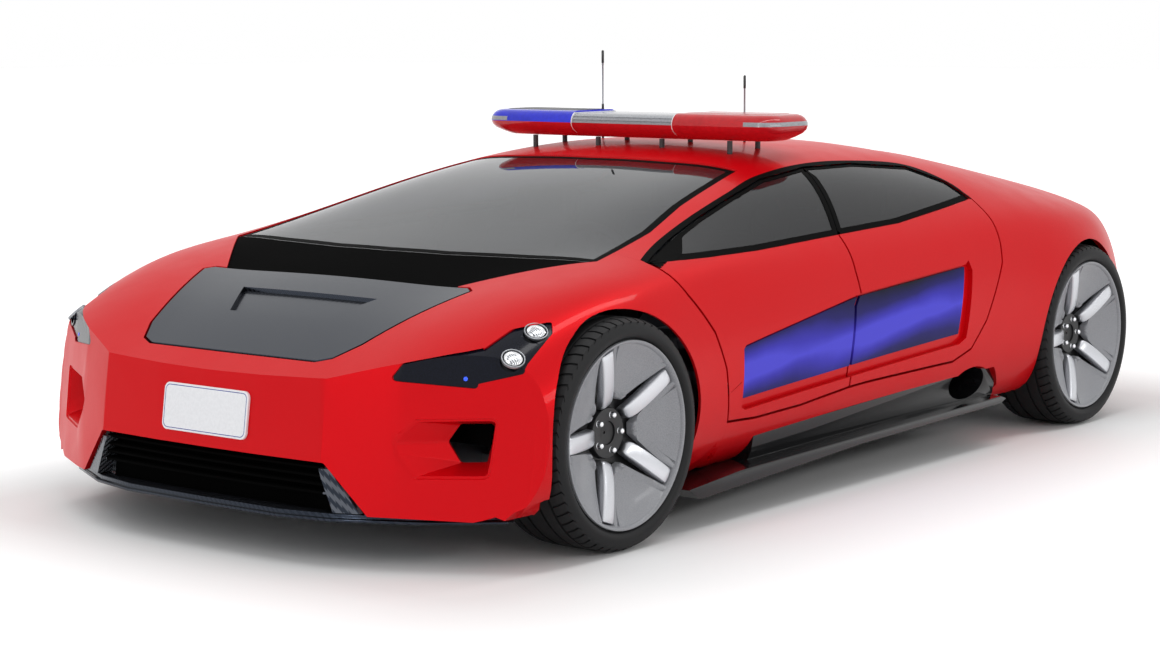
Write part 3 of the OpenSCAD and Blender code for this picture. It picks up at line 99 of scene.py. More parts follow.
def skin(u, v):
    """Point and both tangents of the left half of the skin."""
    iu = np.clip(np.floor(u).astype(int), 0, NU - 1)
    iv = np.clip(np.floor(v).astype(int), 0, NV - 1)
    wu, wv, su, sv = weights(u - iu), weights(v - iv), slopes(u - iu), slopes(v - iv)
    p = np.zeros((len(u), 3))
    du, dv = p.copy(), p.copy()
    for a in range(4):
        for b in range(4):
            c = CAGE[iu + a, iv + b]
            p += (wu[:, a] * wv[:, b])[:, None] * c
            du += (su[:, a] * wv[:, b])[:, None] * c
            dv += (wu[:, a] * sv[:, b])[:, None] * c
    return p, du, dv


GU, GV = np.meshgrid(np.linspace(0, NU, 145), np.linspace(0, NV, 97), indexing="ij")
GU, GV = GU.ravel(), GV.ravel()
GP = skin(GU, GV)[0]


def on_skin(points):
    """Nearest u, v, foot point and outward normal for each point, either half."""
    q = np.array(points, float)
    side = np.where(q[:, 1] < 0, -1.0, 1.0)
    q[:, 1] *= side
    u, v = np.empty(len(q)), np.empty(len(q))
    g2 = (GP ** 2).sum(1)
    for k in range(0, len(q), 2000):
        best = (g2[None] - 2 * q[k:k + 2000] @ GP.T).argmin(1)
        u[k:k + 2000], v[k:k + 2000] = GU[best], GV[best]
    for _ in range(8):
        p, du, dv = skin(u, v)
        r = q - p
        a, b, c = (du * du).sum(1), (du * dv).sum(1), (dv * dv).sum(1)
        e, f = (du * r).sum(1), (dv * r).sum(1)
        det = np.maximum(a * c - b * b, 1e-12)
        u = np.clip(u + np.clip((c * e - b * f) / det, -0.3, 0.3), 0, NU)
        v = np.clip(v + np.clip((a * f - b * e) / det, -0.3, 0.3), 0, NV)
    p, du, dv = skin(u, v)
    n = np.cross(du, dv)
    n /= np.linalg.norm(n, axis=1)[:, None]
    p[:, 1] *= side
    n[:, 1] *= side
    return u, v, p, n


def link(name, mesh):
    obj = bpy.data.objects.new(name, mesh)
    bpy.context.scene.collection.objects.link(obj)
    return obj


def soft_normals(bm, limit):
    """Loop normals of a bmesh, averaged over the faces that meet within an angle."""
    cos = math.cos(limit)
    out = []
    for f in bm.faces:
        for vert in f.verts:
            n = Vector((0, 0, 0))
            for g in vert.link_faces:
                if g.normal.dot(f.normal) > cos:
                    n += g.normal * g.calc_area()
            out.append(tuple(n.normalized()) if n.length > 0 else tuple(f.normal))
    return out


def dress(node, layers, mat, lining=None, deep=9.0, ahead=9.0, edge=0.035):
    """A smooth copy of a CAD panel: its faces are divided and laid on the true skin at their depths."""
    bm = bmesh.new()
    bm.from_mesh(nodes[node].data)
    bmesh.ops.remove_doubles(bm, verts=bm.verts, dist=2e-5)
    tag = bm.faces.layers.int.new("layer")
    bm.normal_update()
    for f in bm.faces:
        f.material_index = 0
    faces = list(bm.faces)
    mid = np.array([f.calc_center_median() for f in faces])
    fn = np.array([f.normal for f in faces])
    _, _, p, n = on_skin(mid)
    depth = ((p - mid) * n).sum(1)
    turn = (fn * n).sum(1)
    want = np.array(layers)
    for k, f in enumerate(faces):
        gap = np.abs(want - depth[k])
        if turn[k] < 0:
            gap[0] = 9.0
        j = int(gap.argmin())
        if abs(turn[k]) > 0.9 and abs(want[j] - depth[k]) < 0.009:
            f[tag] = (j + 1) * (1 if turn[k] > 0 else -1)
        if lining and depth[k] > 0.012 and mid[k][0] < ahead and (turn[k] < -0.6 or depth[k] > deep):
            f.material_index = 1
    for _ in range(3):
        cut = {e for f in bm.faces if f[tag] for e in f.edges if e.calc_length() > edge}
        if not cut:
            break
        bmesh.ops.subdivide_edges(bm, edges=list(cut), cuts=1)
        bmesh.ops.triangulate(bm, faces=[f for f in bm.faces if len(f.verts) > 3])
    bm.verts.index_update()
    lay = {}
    for f in bm.faces:
        if f[tag]:
            for w in f.verts:
                lay[w.index] = layers[abs(f[tag]) - 1]
    idx = list(lay)
    bm.verts.ensure_lookup_table()
    at = np.array([bm.verts[i].co for i in idx])
    _, _, p, n = on_skin(at)
    ends = np.array([lay[i] for i in idx])
    new = p - ends[:, None] * n
    far = np.linalg.norm(new - at, axis=1) > 0.012
    new[far] = at[far]
    vn = {}
    for k, i in enumerate(idx):
        bm.verts[i].co = new[k]
        vn[i] = n[k]
    bm.normal_update()
    base = soft_normals(bm, 0.7)
    normals, k = [], 0
    for f in bm.faces:
        for w in f.verts:
            if f[tag]:
                normals.append(tuple(vn[w.index] * (1 if f[tag] > 0 else -1)))
            else:
                normals.append(base[k])
            k += 1
    mesh = bpy.data.meshes.new("skin_" + node)
    bm.to_mesh(mesh)
    bm.free()
    for poly in mesh.polygons:
        poly.use_smooth = True
    mesh.normals_split_custom_set(normals)
    obj = link("skin_" + node, mesh)
    mesh.materials.append(mat)
    if lining:
        mesh.materials.append(lining)
    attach(obj, body_of[node])
    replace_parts(obj, node)
    return obj


def piece(name, verts, faces, mat, body, sharp=0.6):
    """A mesh piece that rides on a body, smooth but for edges sharper than an angle."""
    mesh = bpy.data.meshes.new(name)
    mesh.from_pydata([tuple(v) for v in verts], [], [tuple(f) for f in faces])
    mesh.validate()
    bm = bmesh.new()
    bm.from_mesh(mesh)
    bmesh.ops.recalc_face_normals(bm, faces=bm.faces)
    bm.to_mesh(mesh)
    bm.free()
    mesh.shade_smooth()
    mesh.set_sharp_from_angle(angle=sharp)
    for m in mat if isinstance(mat, (list, tuple)) else [mat]:
        mesh.materials.append(m)
    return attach(link(name, mesh), body)


def bevelled(node, width, mat, segments=2, angle=0.5):
    """A CAD node with its sharp edges rounded."""
    bm = bmesh.new()
    bm.from_mesh(nodes[node].data)
    bmesh.ops.remove_doubles(bm, verts=bm.verts, dist=2e-5)
    bmesh.ops.dissolve_limit(bm, angle_limit=0.02, verts=bm.verts, edges=bm.edges)
    edges = [e for e in bm.edges if len(e.link_faces) == 2 and e.calc_face_angle(0) > angle]
    bmesh.ops.bevel(bm, geom=edges, offset=width, offset_type="OFFSET", segments=segments,
                    profile=0.5, affect="EDGES", clamp_overlap=True)
    mesh = bpy.data.meshes.new("round_" + node)
    bm.to_mesh(mesh)
    bm.free()
    for p in mesh.polygons:
        p.material_index = 0
    mesh.shade_smooth()
    mesh.set_sharp_from_angle(angle=angle)
    mesh.materials.append(mat)
    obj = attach(link("round_" + node, mesh), body_of[node])
    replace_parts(obj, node)
    return obj


def rings_to_faces(count, n, closed=True, caps=False):
    """Quads between rings of n points each, and optional end caps."""
    faces = []
    for i in range(count - 1):
        for j in range(n if closed else n - 1):
            k = (j + 1) % n
            faces.append((i * n + j, i * n + k, (i + 1) * n + k, (i + 1) * n + j))
    if caps:
        faces += [tuple(range(n - 1, -1, -1)), tuple((count - 1) * n + j for j in range(n))]
    return faces


def project(points, axis):
    """Points moved along one axis onto the skin, with the outward normals there."""
    q = np.array(points, float)
    for _ in range(7):
        _, _, p, n = on_skin(q)
        step = ((p - q) * n).sum(1) / np.where(np.abs(n[:, axis]) < 0.15, 0.15, n[:, axis])
        q[:, axis] += np.clip(step, -0.25, 0.25)
    return q, n


def inset(poly, d):
    """A closed outline moved inward by d, one for all or one for each point."""
    p = np.array(poly, float)
    d = np.broadcast_to(d, len(p))
    area = (p[:, 0] * np.roll(p[:, 1], -1) - np.roll(p[:, 0], -1) * p[:, 1]).sum()
    e = np.roll(p, -1, 0) - p
    e /= np.linalg.norm(e, axis=1)[:, None]
    inward = np.stack([-e[:, 1], e[:, 0]], 1) * (1 if area > 0 else -1)
    out = []
    for k in range(len(p)):
        a, b = inward[k - 1], inward[k]
        m = a + b
        m /= max(np.linalg.norm(m), 1e-6)
        out.append(p[k] + m * d[k] / max(m.dot(b), 0.35))
    return np.array(out)


def finely(poly, step):
    """A closed outline with points about one step apart."""
    out = []
    for k in range(len(poly)):
        a, b = poly[k], poly[(k + 1) % len(poly)]
        m = max(1, int(np.linalg.norm(b - a) / step))
        out += [a + (b - a) * t / m for t in range(m)]
    return np.array(out)


TIP_X, TOP_WIDTH = (0.83, 0.92), (0.0065, 0.024)  # the frame widens toward the window's front tip


def band(name, poly, d0, d1, axis, depth, thick, mat, body, side=1, top=0):
    """A flat strip on the skin between two insets of an outline drawn across one axis.

    The first points, as many as top says, run along a window's top: the strip is slim there but for the front tip.
    """
    base = finely(np.array(poly, float), 0.02)
    width = np.full(len(base), d1)
    if top:
        k = np.linalg.norm(base - np.array(poly[top - 1]), axis=1).argmin()
        width[:k] = np.interp(base[:k, 0], TIP_X, TOP_WIDTH)
    outer, inner = inset(base, d0), inset(base, width)
    rings = []
    for ring, d in ((outer, depth + thick), (outer, depth), (inner, depth), (inner, depth + thick)):
        guess = np.zeros((len(ring), 3))
        guess[:, 0] = ring[:, 0]
        guess[:, 3 - axis] = ring[:, 1]
        guess[:, axis] = 0.85
        q, n = project(guess, axis)
        rings.append(q - n * d)
    verts = np.concatenate(rings)
    verts[:, 1] *= side
    return piece(name, verts, rings_to_faces(4, len(base)), mat, body)


def trim(name, path, gap, width, mat, body, side):
    """A thin strip on the skin along an open path: straight on its inner edge, curved on its outer one."""
    p = np.array(path, float)
    t = np.linspace(0, len(p) - 1, 16 * (len(p) - 1) + 1)
    k = np.minimum(t.astype(int), len(p) - 2)
    f = (t - k)[:, None]
    q = np.concatenate([2 * p[:1] - p[1:2], p, 2 * p[-1:] - p[-2:-1]])
    a, b, c, d = (q[k + j] for j in range(4))
    curve = b + 0.5 * ((c - a) * f + (2 * a - 5 * b + 4 * c - d) * f ** 2 + (3 * b - a - 3 * c + d) * f ** 3)
    g = np.gradient(curve, axis=0)
    out = np.stack([g[:, 1], -g[:, 0]], 1) / np.linalg.norm(g, axis=1)[:, None]
    outer, inner = curve + out * width, b + (c - b) * f + out * gap
    lift = 0.0006
    edges = []
    for ring, depth in ((outer, lift), (outer, -lift), (inner, -lift), (inner, lift)):
        guess = np.stack([ring[:, 0], np.full(len(ring), 0.85), ring[:, 1]], 1)
        q, n = project(guess, 1)
        edges.append(q - n * depth)
    verts = np.stack(edges, 1).reshape(-1, 3)
    verts[:, 1] *= side
    return piece(name, verts, rings_to_faces(len(t), 4, True, True), mat, body)


# Materials.
def material(name, base, rough=0.4, metal=0.0, coat=0.0, **more):
    """A Principled material, with its node tree and shader; more sockets are set by name."""
    m = bpy.data.materials.new(name)
    m.use_nodes = True
    t = m.node_tree
    b = t.nodes["Principled BSDF"]
    b.inputs["Base Color"].default_value = (*base, 1)
    b.inputs["Roughness"].default_value = rough
    b.inputs["Metallic"].default_value = metal
    b.inputs["Coat Weight"].default_value = coat
    b.inputs["Coat Roughness"].default_value = more.pop("coat_rough", 0.03)
    for k, v in more.items():
        b.inputs[k].default_value = v
    return m, t, b


def coords(t):
    return t.nodes.new("ShaderNodeTexCoord").outputs["Object"]


def noise(t, scale, detail=2.0):
    n = t.nodes.new("ShaderNodeTexNoise")
    n.inputs["Scale"].default_value = scale
    n.inputs["Detail"].default_value = detail
    t.links.new(coords(t), n.inputs["Vector"])
    return n.outputs["Fac"]


def ramp(t, fac, *stops):
    r = t.nodes.new("ShaderNodeValToRGB")
    while len(r.color_ramp.elements) < len(stops):
        r.color_ramp.elements.new(0.5)
    for e, (pos, col) in zip(r.color_ramp.elements, stops):
        e.position = pos
        e.color = (*col, 1)
    t.links.new(fac, r.inputs["Fac"])
    return r.outputs["Color"]


def math_node(t, op, a, b=None):
    n = t.nodes.new("ShaderNodeMath")
    n.operation = op
    for k, x in enumerate((a, b)):
        if x is None:
            continue
        if isinstance(x, (int, float)):
            n.inputs[k].default_value = x
        else:
            t.links.new(x, n.inputs[k])
    return n.outputs[0]


def bump(t, b, height, strength, distance=0.001):
    n = t.nodes.new("ShaderNodeBump")
    n.inputs["Strength"].default_value = strength
    n.inputs["Distance"].default_value = distance
    t.links.new(height, n.inputs["Height"])
    t.links.new(n.outputs["Normal"], b.inputs["Normal"])


def grade(t, b, height, dark, light, lo=0.35, hi=0.65):
    t.links.new(ramp(t, height, (lo, dark), (hi, light)), b.inputs["Base Color"])


def rough_by(t, b, height, lo, hi):
    t.links.new(ramp(t, height, (0.3, (lo,) * 3), (0.7, (hi,) * 3)), b.inputs["Roughness"])


def red_paint():
    """Solid red under lacquer, with fine flake and a slight orange peel."""
    m, t, b = material("red_paint", (0.62, 0.002, 0.006), rough=0.36, metal=0.3, coat=0.18, coat_rough=0.04,
                       **{"Specular IOR Level": 0.12, "Specular Tint": (0.9, 0.02, 0.03, 1)})
    grade(t, b, noise(t, 1600, 1), (0.56, 0.0015, 0.005), (0.68, 0.003, 0.008))
    rough_by(t, b, noise(t, 6, 3), 0.30, 0.40)
    bump(t, b, noise(t, 90, 2), 0.02, 0.0006)
    return m


def carbon(name="carbon_gloss", size=0.009, dark=(0.004, 0.004, 0.005), light=(0.013, 0.014, 0.017)):
    """Twill weave under clear lacquer: bands step one thread per row; the blue specular tint is a painted reflection
    colour of bluish surroundings.
    """
    # Painted reflection: the blue Specular Tint colours every reflection on this black, as if it mirrored a bluish
    # sky.
    m, t, b = material(name, (0.02, 0.02, 0.022), rough=0.3, coat=0.08,
                       **{"Specular IOR Level": 0.42, "Specular Tint": (0.52, 0.68, 1.0, 1)})
    s = t.nodes.new("ShaderNodeSeparateXYZ")
    t.links.new(coords(t), s.inputs[0])
    x = math_node(t, "FLOOR", math_node(t, "DIVIDE", s.outputs["X"], size / 2))
    y = math_node(t, "FLOOR", math_node(t, "DIVIDE", math_node(t, "ADD", s.outputs["Y"], s.outputs["Z"]), size / 2))
    k = math_node(t, "LESS_THAN", math_node(t, "FLOORED_MODULO", math_node(t, "ADD", x, y), 4.0), 2.0)
    grade(t, b, k, dark, light, 0.0, 1.0)
    t.links.new(ramp(t, k, (0, (0.14,) * 3), (1, (0.26,) * 3)), b.inputs["Roughness"])
    return m


def black_gloss(name="black_gloss", base=(0.006, 0.006, 0.007), coat=0.35, level=0.2):
    m, t, b = material(name, base, rough=0.16, coat=coat, **{"Specular IOR Level": level})
    grade(t, b, noise(t, 300), tuple(c * 0.7 for c in base), tuple(c * 1.4 for c in base))
    return m


def black_matte(name="black_matte", base=0.0016, rough=0.8):
    m, t, b = material(name, (base,) * 3, rough=rough, **{"Specular IOR Level": 0.012})
    n = noise(t, 900, 3)
    grade(t, b, n, (base * 0.7,) * 3, (base * 1.5,) * 3)
    bump(t, b, n, 0.25, 0.0004)
    return m


def tinted_glass(name, tint, ior=1.33):
    m, t, b = material(name, tint, rough=0.0, **{"Transmission Weight": 0.92, "IOR": ior})
    grade(t, b, noise(t, 3, 2), tuple(c * 0.94 for c in tint), tint)
    return m


def metal(name, base, rough, grain=900.0):
    m, t, b = material(name, base, rough=rough, metal=1.0)
    rough_by(t, b, noise(t, grain, 3), rough * 0.85, rough * 1.2)
    return m


def lens(name, base, glow=0.0):
    m, t, b = material(name, base, rough=0.08, coat=0.25, **{"Transmission Weight": 0.35, "IOR": 1.35})
    grade(t, b, noise(t, 60), tuple(c * 0.85 for c in base), base)
    if glow:
        b.inputs["Emission Color"].default_value = (*base, 1)
        b.inputs["Emission Strength"].default_value = glow
    return m


def rubber():
    m, t, b = material("tyre_rubber", (0.008, 0.008, 0.009), rough=0.55, **{"Specular IOR Level": 0.22})
    n = noise(t, 500, 4)
    grade(t, b, n, (0.005, 0.005, 0.0055), (0.012, 0.012, 0.013))
    rough_by(t, b, n, 0.45, 0.65)
    bump(t, b, n, 0.2, 0.0003)
    return m


def sign_face():
    """Unlit edge to lit middle: a violet-blue band along the panel, with slanted streaks, blank."""
    m, t, b = material("blue_sign", (0.05, 0.03, 0.45), rough=0.25, coat=0.06, **{"Specular IOR Level": 0.06})
    s = t.nodes.new("ShaderNodeSeparateXYZ")
    t.links.new(coords(t), s.inputs[0])
    x, z = s.outputs["X"], s.outputs["Z"]
    mid = math_node(t, "ADD", math_node(t, "MULTIPLY", x, -0.075), 0.487)
    off = math_node(t, "ABSOLUTE", math_node(t, "SUBTRACT", z, mid))
    across = math_node(t, "SUBTRACT", 1.0, math_node(t, "DIVIDE", off, 0.128))
    slant = math_node(t, "ADD", math_node(t, "MULTIPLY", x, 9.0), math_node(t, "MULTIPLY", z, 30.0))
    streak = math_node(t, "MULTIPLY", math_node(t, "SINE", slant), 0.10)
    cloud = math_node(t, "MULTIPLY", noise(t, 5, 3), 0.25)
    f = math_node(t, "ADD", math_node(t, "ADD", across, streak), cloud)
    c = ramp(t, f, (0.12, (0.003, 0.003, 0.014)), (0.50, (0.012, 0.009, 0.12)),
             (0.82, (0.040, 0.032, 0.42)), (1.0, (0.070, 0.062, 0.60)))
    t.links.new(c, b.inputs["Base Color"])
    t.links.new(c, b.inputs["Emission Color"])
    b.inputs["Emission Strength"].default_value = 0.14
    return m


def leather():
    """Dark seat leather: fine grain and a soft sheen."""
    m, t, b = material("seat_leather", (0.02, 0.02, 0.022), rough=0.5, **{"Sheen Weight": 0.15})
    v = t.nodes.new("ShaderNodeTexVoronoi")
    v.inputs["Scale"].default_value = 420
    t.links.new(coords(t), v.inputs["Vector"])
    grade(t, b, noise(t, 9, 3), (0.016, 0.016, 0.018), (0.030, 0.030, 0.033))
    rough_by(t, b, noise(t, 60, 3), 0.42, 0.58)
    bump(t, b, v.outputs["Distance"], 0.35, 0.0006)
    return m


def lamp_ball():
    """A lamp's glass front over its silver reflector, with fine ribs; its dark and bright bands are painted glints of
    the reflector.
    """
    m, t, b = material("lamp_ball", (0.7, 0.72, 0.75), rough=0.12, metal=0.75, coat=0.6)
    w = t.nodes.new("ShaderNodeTexWave")
    w.inputs["Scale"].default_value = 60
    w.inputs["Distortion"].default_value = 3
    t.links.new(coords(t), w.inputs["Vector"])
    # Painted glints: the wave bands swing the colour from dark to bright silver, standing in for light caught on the
    # ribs.
    grade(t, b, w.outputs["Fac"], (0.22, 0.23, 0.25), (0.85, 0.87, 0.90), 0.2, 0.8)
    bump(t, b, w.outputs["Fac"], 0.3, 0.0015)
    return m


def lacquer_white():
    m, t, b = material("white_plate", (0.86, 0.87, 0.90), rough=0.3, coat=0.5)
    grade(t, b, noise(t, 120, 2), (0.83, 0.84, 0.87), (0.88, 0.89, 0.92))
    return m


def tail_lens():
    """Deep red lamp cover, dark when unlit."""
    m, t, b = material("tail_red", (0.16, 0.001, 0.003), rough=0.3, coat=0.03, **{"Specular IOR Level": 0.08})
    grade(t, b, noise(t, 220), (0.12, 0.0008, 0.002), (0.19, 0.0015, 0.004))
    return m


def plain(name, base, rough, coat=0.0, scale=200.0):
    m, t, b = material(name, base, rough=rough, coat=coat)
    n = noise(t, scale, 3)
    grade(t, b, n, tuple(c * 0.82 for c in base), tuple(min(1, c * 1.15) for c in base))
    rough_by(t, b, n, rough * 0.85, rough * 1.15)
    return m


RED = red_paint()
CARBON = carbon()
FIN = carbon("carbon_fin", 0.012, (0.010, 0.011, 0.013), (0.10, 0.105, 0.115))
GLOSS = black_gloss()
COVER = black_gloss("lamp_cover", (0.004, 0.005, 0.011), 0.10, 0.10)
MATTE = black_matte()
SEAL = black_matte("black_seal", 0.002, 0.5)
SCREEN = tinted_glass("screen_glass", (0.165, 0.178, 0.20))
SIDE = tinted_glass("side_glass", (0.075, 0.080, 0.092), ior=1.27)
BRIGHT = metal("bright_metal", (0.80, 0.81, 0.83), 0.12)
GREY = metal("cast_grey", (0.32, 0.33, 0.35), 0.45)
RUBBER = rubber()
SIGN = sign_face()
RED_LENS = lens("red_lens", (0.65, 0.012, 0.02), 0.10)
BLUE_LENS = lens("blue_lens", (0.02, 0.03, 0.70), 0.15)
WHITE = lacquer_white()
LEATHER = leather()
TAIL_RED = tail_lens()
LAMP_RED = plain("lamp_red", (0.42, 0.01, 0.015), 0.3, 0.5)
LINING = plain("cabin_lining", (0.022, 0.022, 0.024), 0.8, scale=700)
DARK = plain("dark_channel", (0.006, 0.006, 0.007), 0.45)
PLATE_GREY = plain("satin_grey", (0.27, 0.275, 0.295), 0.38, 0.2, 500)
SPOKE = metal("spoke_silver", (0.60, 0.61, 0.64), 0.30)
EDGE_BLUE = plain("edge_blue", (0.02, 0.04, 0.30), 0.3, 0.4)
TIP = plain("aerial_tip", (0.02, 0.02, 0.021), 0.4)
LAMP_GREY = plain("lamp_grey", (0.30, 0.31, 0.335), 0.3, 0.6)
LAMP_BALL = lamp_ball()
BLUE_DOT = lens("blue_dot", (0.03, 0.10, 0.85), 0.8)


def paint(node, mat):
    """One material for a CAD node that shows as it is."""
    d = nodes[node].data
    d.materials.clear()
    d.materials.append(mat)


for n in nodes:
    paint(n, MATTE)
for n in ("drive_units", "suspension", "door_posts", "knuckle_l", "knuckle_r"):
    paint(n, GREY)

# Body panels.
WALL = 0.022
dress("front_shell", [0, 0.009, WALL], RED, LINING, ahead=1.70)
dress("main_shell", [0, WALL], RED, LINING)
dress("lid", [0, 0.012, 0.020], CARBON)
dress("cowl", [0.005, 0.017], MATTE)
dress("windscreen", [0.005, 0.011], SCREEN)
dress("rear_window", [0.005, 0.011], SCREEN)
cover = dress("headlamps", [0.005, 0.060], COVER).data
for w in ("fl", "fr", "rl", "rr"):
    dress("door_" + w, [0, 0.016, 0.026, 0.080], RED, LINING, 0.030)
    dress("glass_" + w, [0.005, 0.011], SIDE)
    dress("sign_" + w, [0.007, 0.016], SIGN)

# Black frames round the glass.
FRONT_LIGHT = [(.795, .743), (.655, .788), (.487, .840), (.327, .885), (.172, .924), (-.022, .948),
               (.103, .758), (.431, .743), (.646, .740)]
REAR_LIGHT = [(-.022, .948), (-.219, .948), (-.447, .924), (-.538, .871), (-.555, .8135), (-.548, .813),
              (-.167, .769), (.103, .758)]
for w, side in (("l", 1), ("r", -1)):
    for end, poly in (("f", FRONT_LIGHT), ("r", REAR_LIGHT)):
        flat = [(x * HWB, z * RH) for x, z in poly]
        band("frame_" + end + w, flat, 0.0015, 0.019, 1, 0.0035, 0.001, SEAL, body_of["door_" + end + w], side,
             6 if end == "f" else 5)
    top = [(x * HWB, z * RH) for x, z in FRONT_LIGHT[:6] + REAR_LIGHT[1:5]]
    trim("roof_trim_" + w, top, 0.0005, 0.0075, SEAL, "chassis", side)

SCREEN_EDGE = [(.938, 0), (.932, .227), (.905, .495), (.873, .728), (.655, .693), (.487, .634), (.327, .594),
               (.182, .554), (.207, .297), (.218, 0)]
edge_line = [(x * HWB, y * HW) for x, y in SCREEN_EDGE]
edge_line += [(x, -y) for x, y in edge_line[-2:0:-1]]
band("screen_edge", edge_line, 0.004, 0.026, 2, 0.0042, 0.0006, SEAL, "chassis")

# Wheels: tread, rim, spokes and nuts.
TREAD = [(0, 328), (26, 328), (27, 322), (34, 322), (35, 327.9), (61, 327.8), (70, 327.4), (71, 321.5),
         (78, 321.2), (79, 326.8), (90, 326.0), (100, 324.6), (107, 321.6), (113, 318.4), (118, 315.6),
         (121.4, 310), (124.8, 302), (126.9, 293), (127.2, 288), (126, 281), (122, 275), (116, 271.2),
         (112.4, 268), (112.2, 259.4), (104, 259.4)]
PITCHES = 60


def ring_points(profile, angles, cut=None):
    """Points of a turned form, in mm: profile of (width, radius), one ring for each angle."""
    out = []
    for k, a in enumerate(angles):
        for w, r in profile:
            b = a
            if cut:
                w, r, b = cut(w, r, a, k)
            out.append((r * math.cos(b), r * math.sin(b), w))
    return out


def groove(w, r, a, k):
    """Shoulder cuts, slanted, and a lean in step with them."""
    reach = abs(w) - 79
    if reach < 0 or r < 314:
        return w, r, a
    lean = a + 0.0011 * min(reach, 42)
    if k % 5 < 2:
        return w - math.copysign(2.5, w), r - 4.5, lean
    return w, r, lean


HALF_TRACK, WHEEL_R = 0.862, 0.328


def wheel_place(points, x, side):
    """Wheel frame, axis outward, to the car's frame in metres."""
    p = np.array(points, float) / 1000
    return np.stack([p[:, 0] + x, side * (HALF_TRACK + p[:, 2]), p[:, 1] + WHEEL_R], 1)


def lofted(sections):
    """Points and faces of closed sections joined in order, with both ends capped."""
    n = len(sections[0])
    return [p for sec in sections for p in sec], rings_to_faces(len(sections), n, True, True)


def spoke(k):
    """A bar with rounded edges and ends that rises from the hub to the lip."""
    path = [(79, 55), (80, 60), (84, 66), (92, 71.5), (106, 78), (130, 86.5), (154, 93), (182, 99.5),
            (207, 104.5), (228, 108), (243, 109.8), (246.5, 109), (248, 106)]
    wide = [10, 16, 20, 22.4, 23.4, 24, 24.3, 24.5, 24.5, 24.5, 24.5, 23.4, 20]
    c, s = math.cos(k * math.tau / 5), math.sin(k * math.tau / 5)
    out = []
    for (r, z), h in zip(path, wide):
        sec = []
        for t, d in ((-1.06, -26), (-1, -8), (-0.965, -4.0), (-0.86, -1.2), (-0.66, 0), (0, 0.8), (0.66, 0),
                     (0.86, -1.2), (0.965, -4.0), (1, -8), (1.06, -26)):
            sec.append((r * c - t * h * s, r * s + t * h * c, z + d))
        out.append(sec)
    return lofted(out)


def slot_half(r):
    """Half the width left for a spoke and its channels, by radius."""
    return float(np.interp(r, [53, 120, 191, 213, 262], [52, 42, 33, 30, 27]))


def dish(r):
    """Outer face of the plates, by radius."""
    return float(np.interp(r, [96, 106, 160, 213, 250, 262], [62.0, 64.5, 78.5, 96.5, 112.6, 114.4]))


def blade(k):
    """A plate between two spokes: dished, with a stepped and chamfered edge toward the hub and channels."""
    mid = (k + 0.5) * math.tau / 5
    chord = 99.0
    verts, faces = [], []
    na, nr = 15, 12
    rows = [(0, -26), (0, -8), (1.5, -2.4), (4.5, 0.0), (12.0, 0.6), (19.0, -7.6), (22.0, -8.5)]
    for i in range(-len(rows), na + len(rows) + 1):
        for j in range(-len(rows), nr + 1):
            ri = rows[i + len(rows)] if i < 0 else rows[na + len(rows) - i] if i > na else (22.0, -8.5)
            rj = rows[j + len(rows)] if j < 0 else (22.0, -8.5)
            t = min(max(j, 0) / nr, 1)
            u = min(max(i / na, 0), 1) * 2 - 1
            pull_r = rj[0] if j < 0 else 22.0
            pull_a = ri[0] if i < 0 or i > na else 22.0
            edge_a = 36 * math.pi / 180
            r = chord + pull_r + t * (257 - chord - 22)
            for _ in range(3):
                a = max(edge_a - math.asin(min((slot_half(r) + pull_a) / r, 0.98)), 0.01) * u
                r = (chord + pull_r) / math.cos(a) * (1 - t) + 257 * t
            drop = min(ri[1], rj[1]) * (1 - t ** 6) + (min(ri[1], 0) * t ** 6 if i < 0 or i > na else 0)
            z = dish(r) + drop
            verts.append((r * math.cos(mid + a), r * math.sin(mid + a), z))
    n = nr + 1 + len(rows)
    m = na + 1 + 2 * len(rows)
    faces = rings_to_faces(m, n, False)
    return verts, faces


def turned(profile, seg=96, cut=None, angles=None):
    """Points and faces of a form turned right round the wheel's axis."""
    angles = angles if angles is not None else [math.tau * k / seg for k in range(seg)]
    pts = ring_points(profile, angles, cut)
    n = len(profile)
    faces = rings_to_faces(len(angles), n, False)
    last = (len(angles) - 1) * n
    faces += [(last + j, last + j + 1, j + 1, j) for j in range(n - 1)]
    return pts, faces


def nuts():
    """Five nuts with washers and domed ends."""
    verts, faces = [], []
    for k in range(5):
        a = (k + 0.5) * math.tau / 5
        x, y = 52 * math.cos(a), 52 * math.sin(a)
        rings = []
        for r, z in ((12, 44), (12, 46), (9.5, 48), (8.6, 50), (8.6, 57), (7.6, 60.6), (4.6, 63), (1.2, 64)):
            rings.append([(x + r * math.cos(b), y + r * math.sin(b), z) for b in np.linspace(0, math.tau, 19)[:-1]])
        v, f = lofted(rings)
        faces += [tuple(i + len(verts) for i in q) for q in f]
        verts += v
    return verts, faces


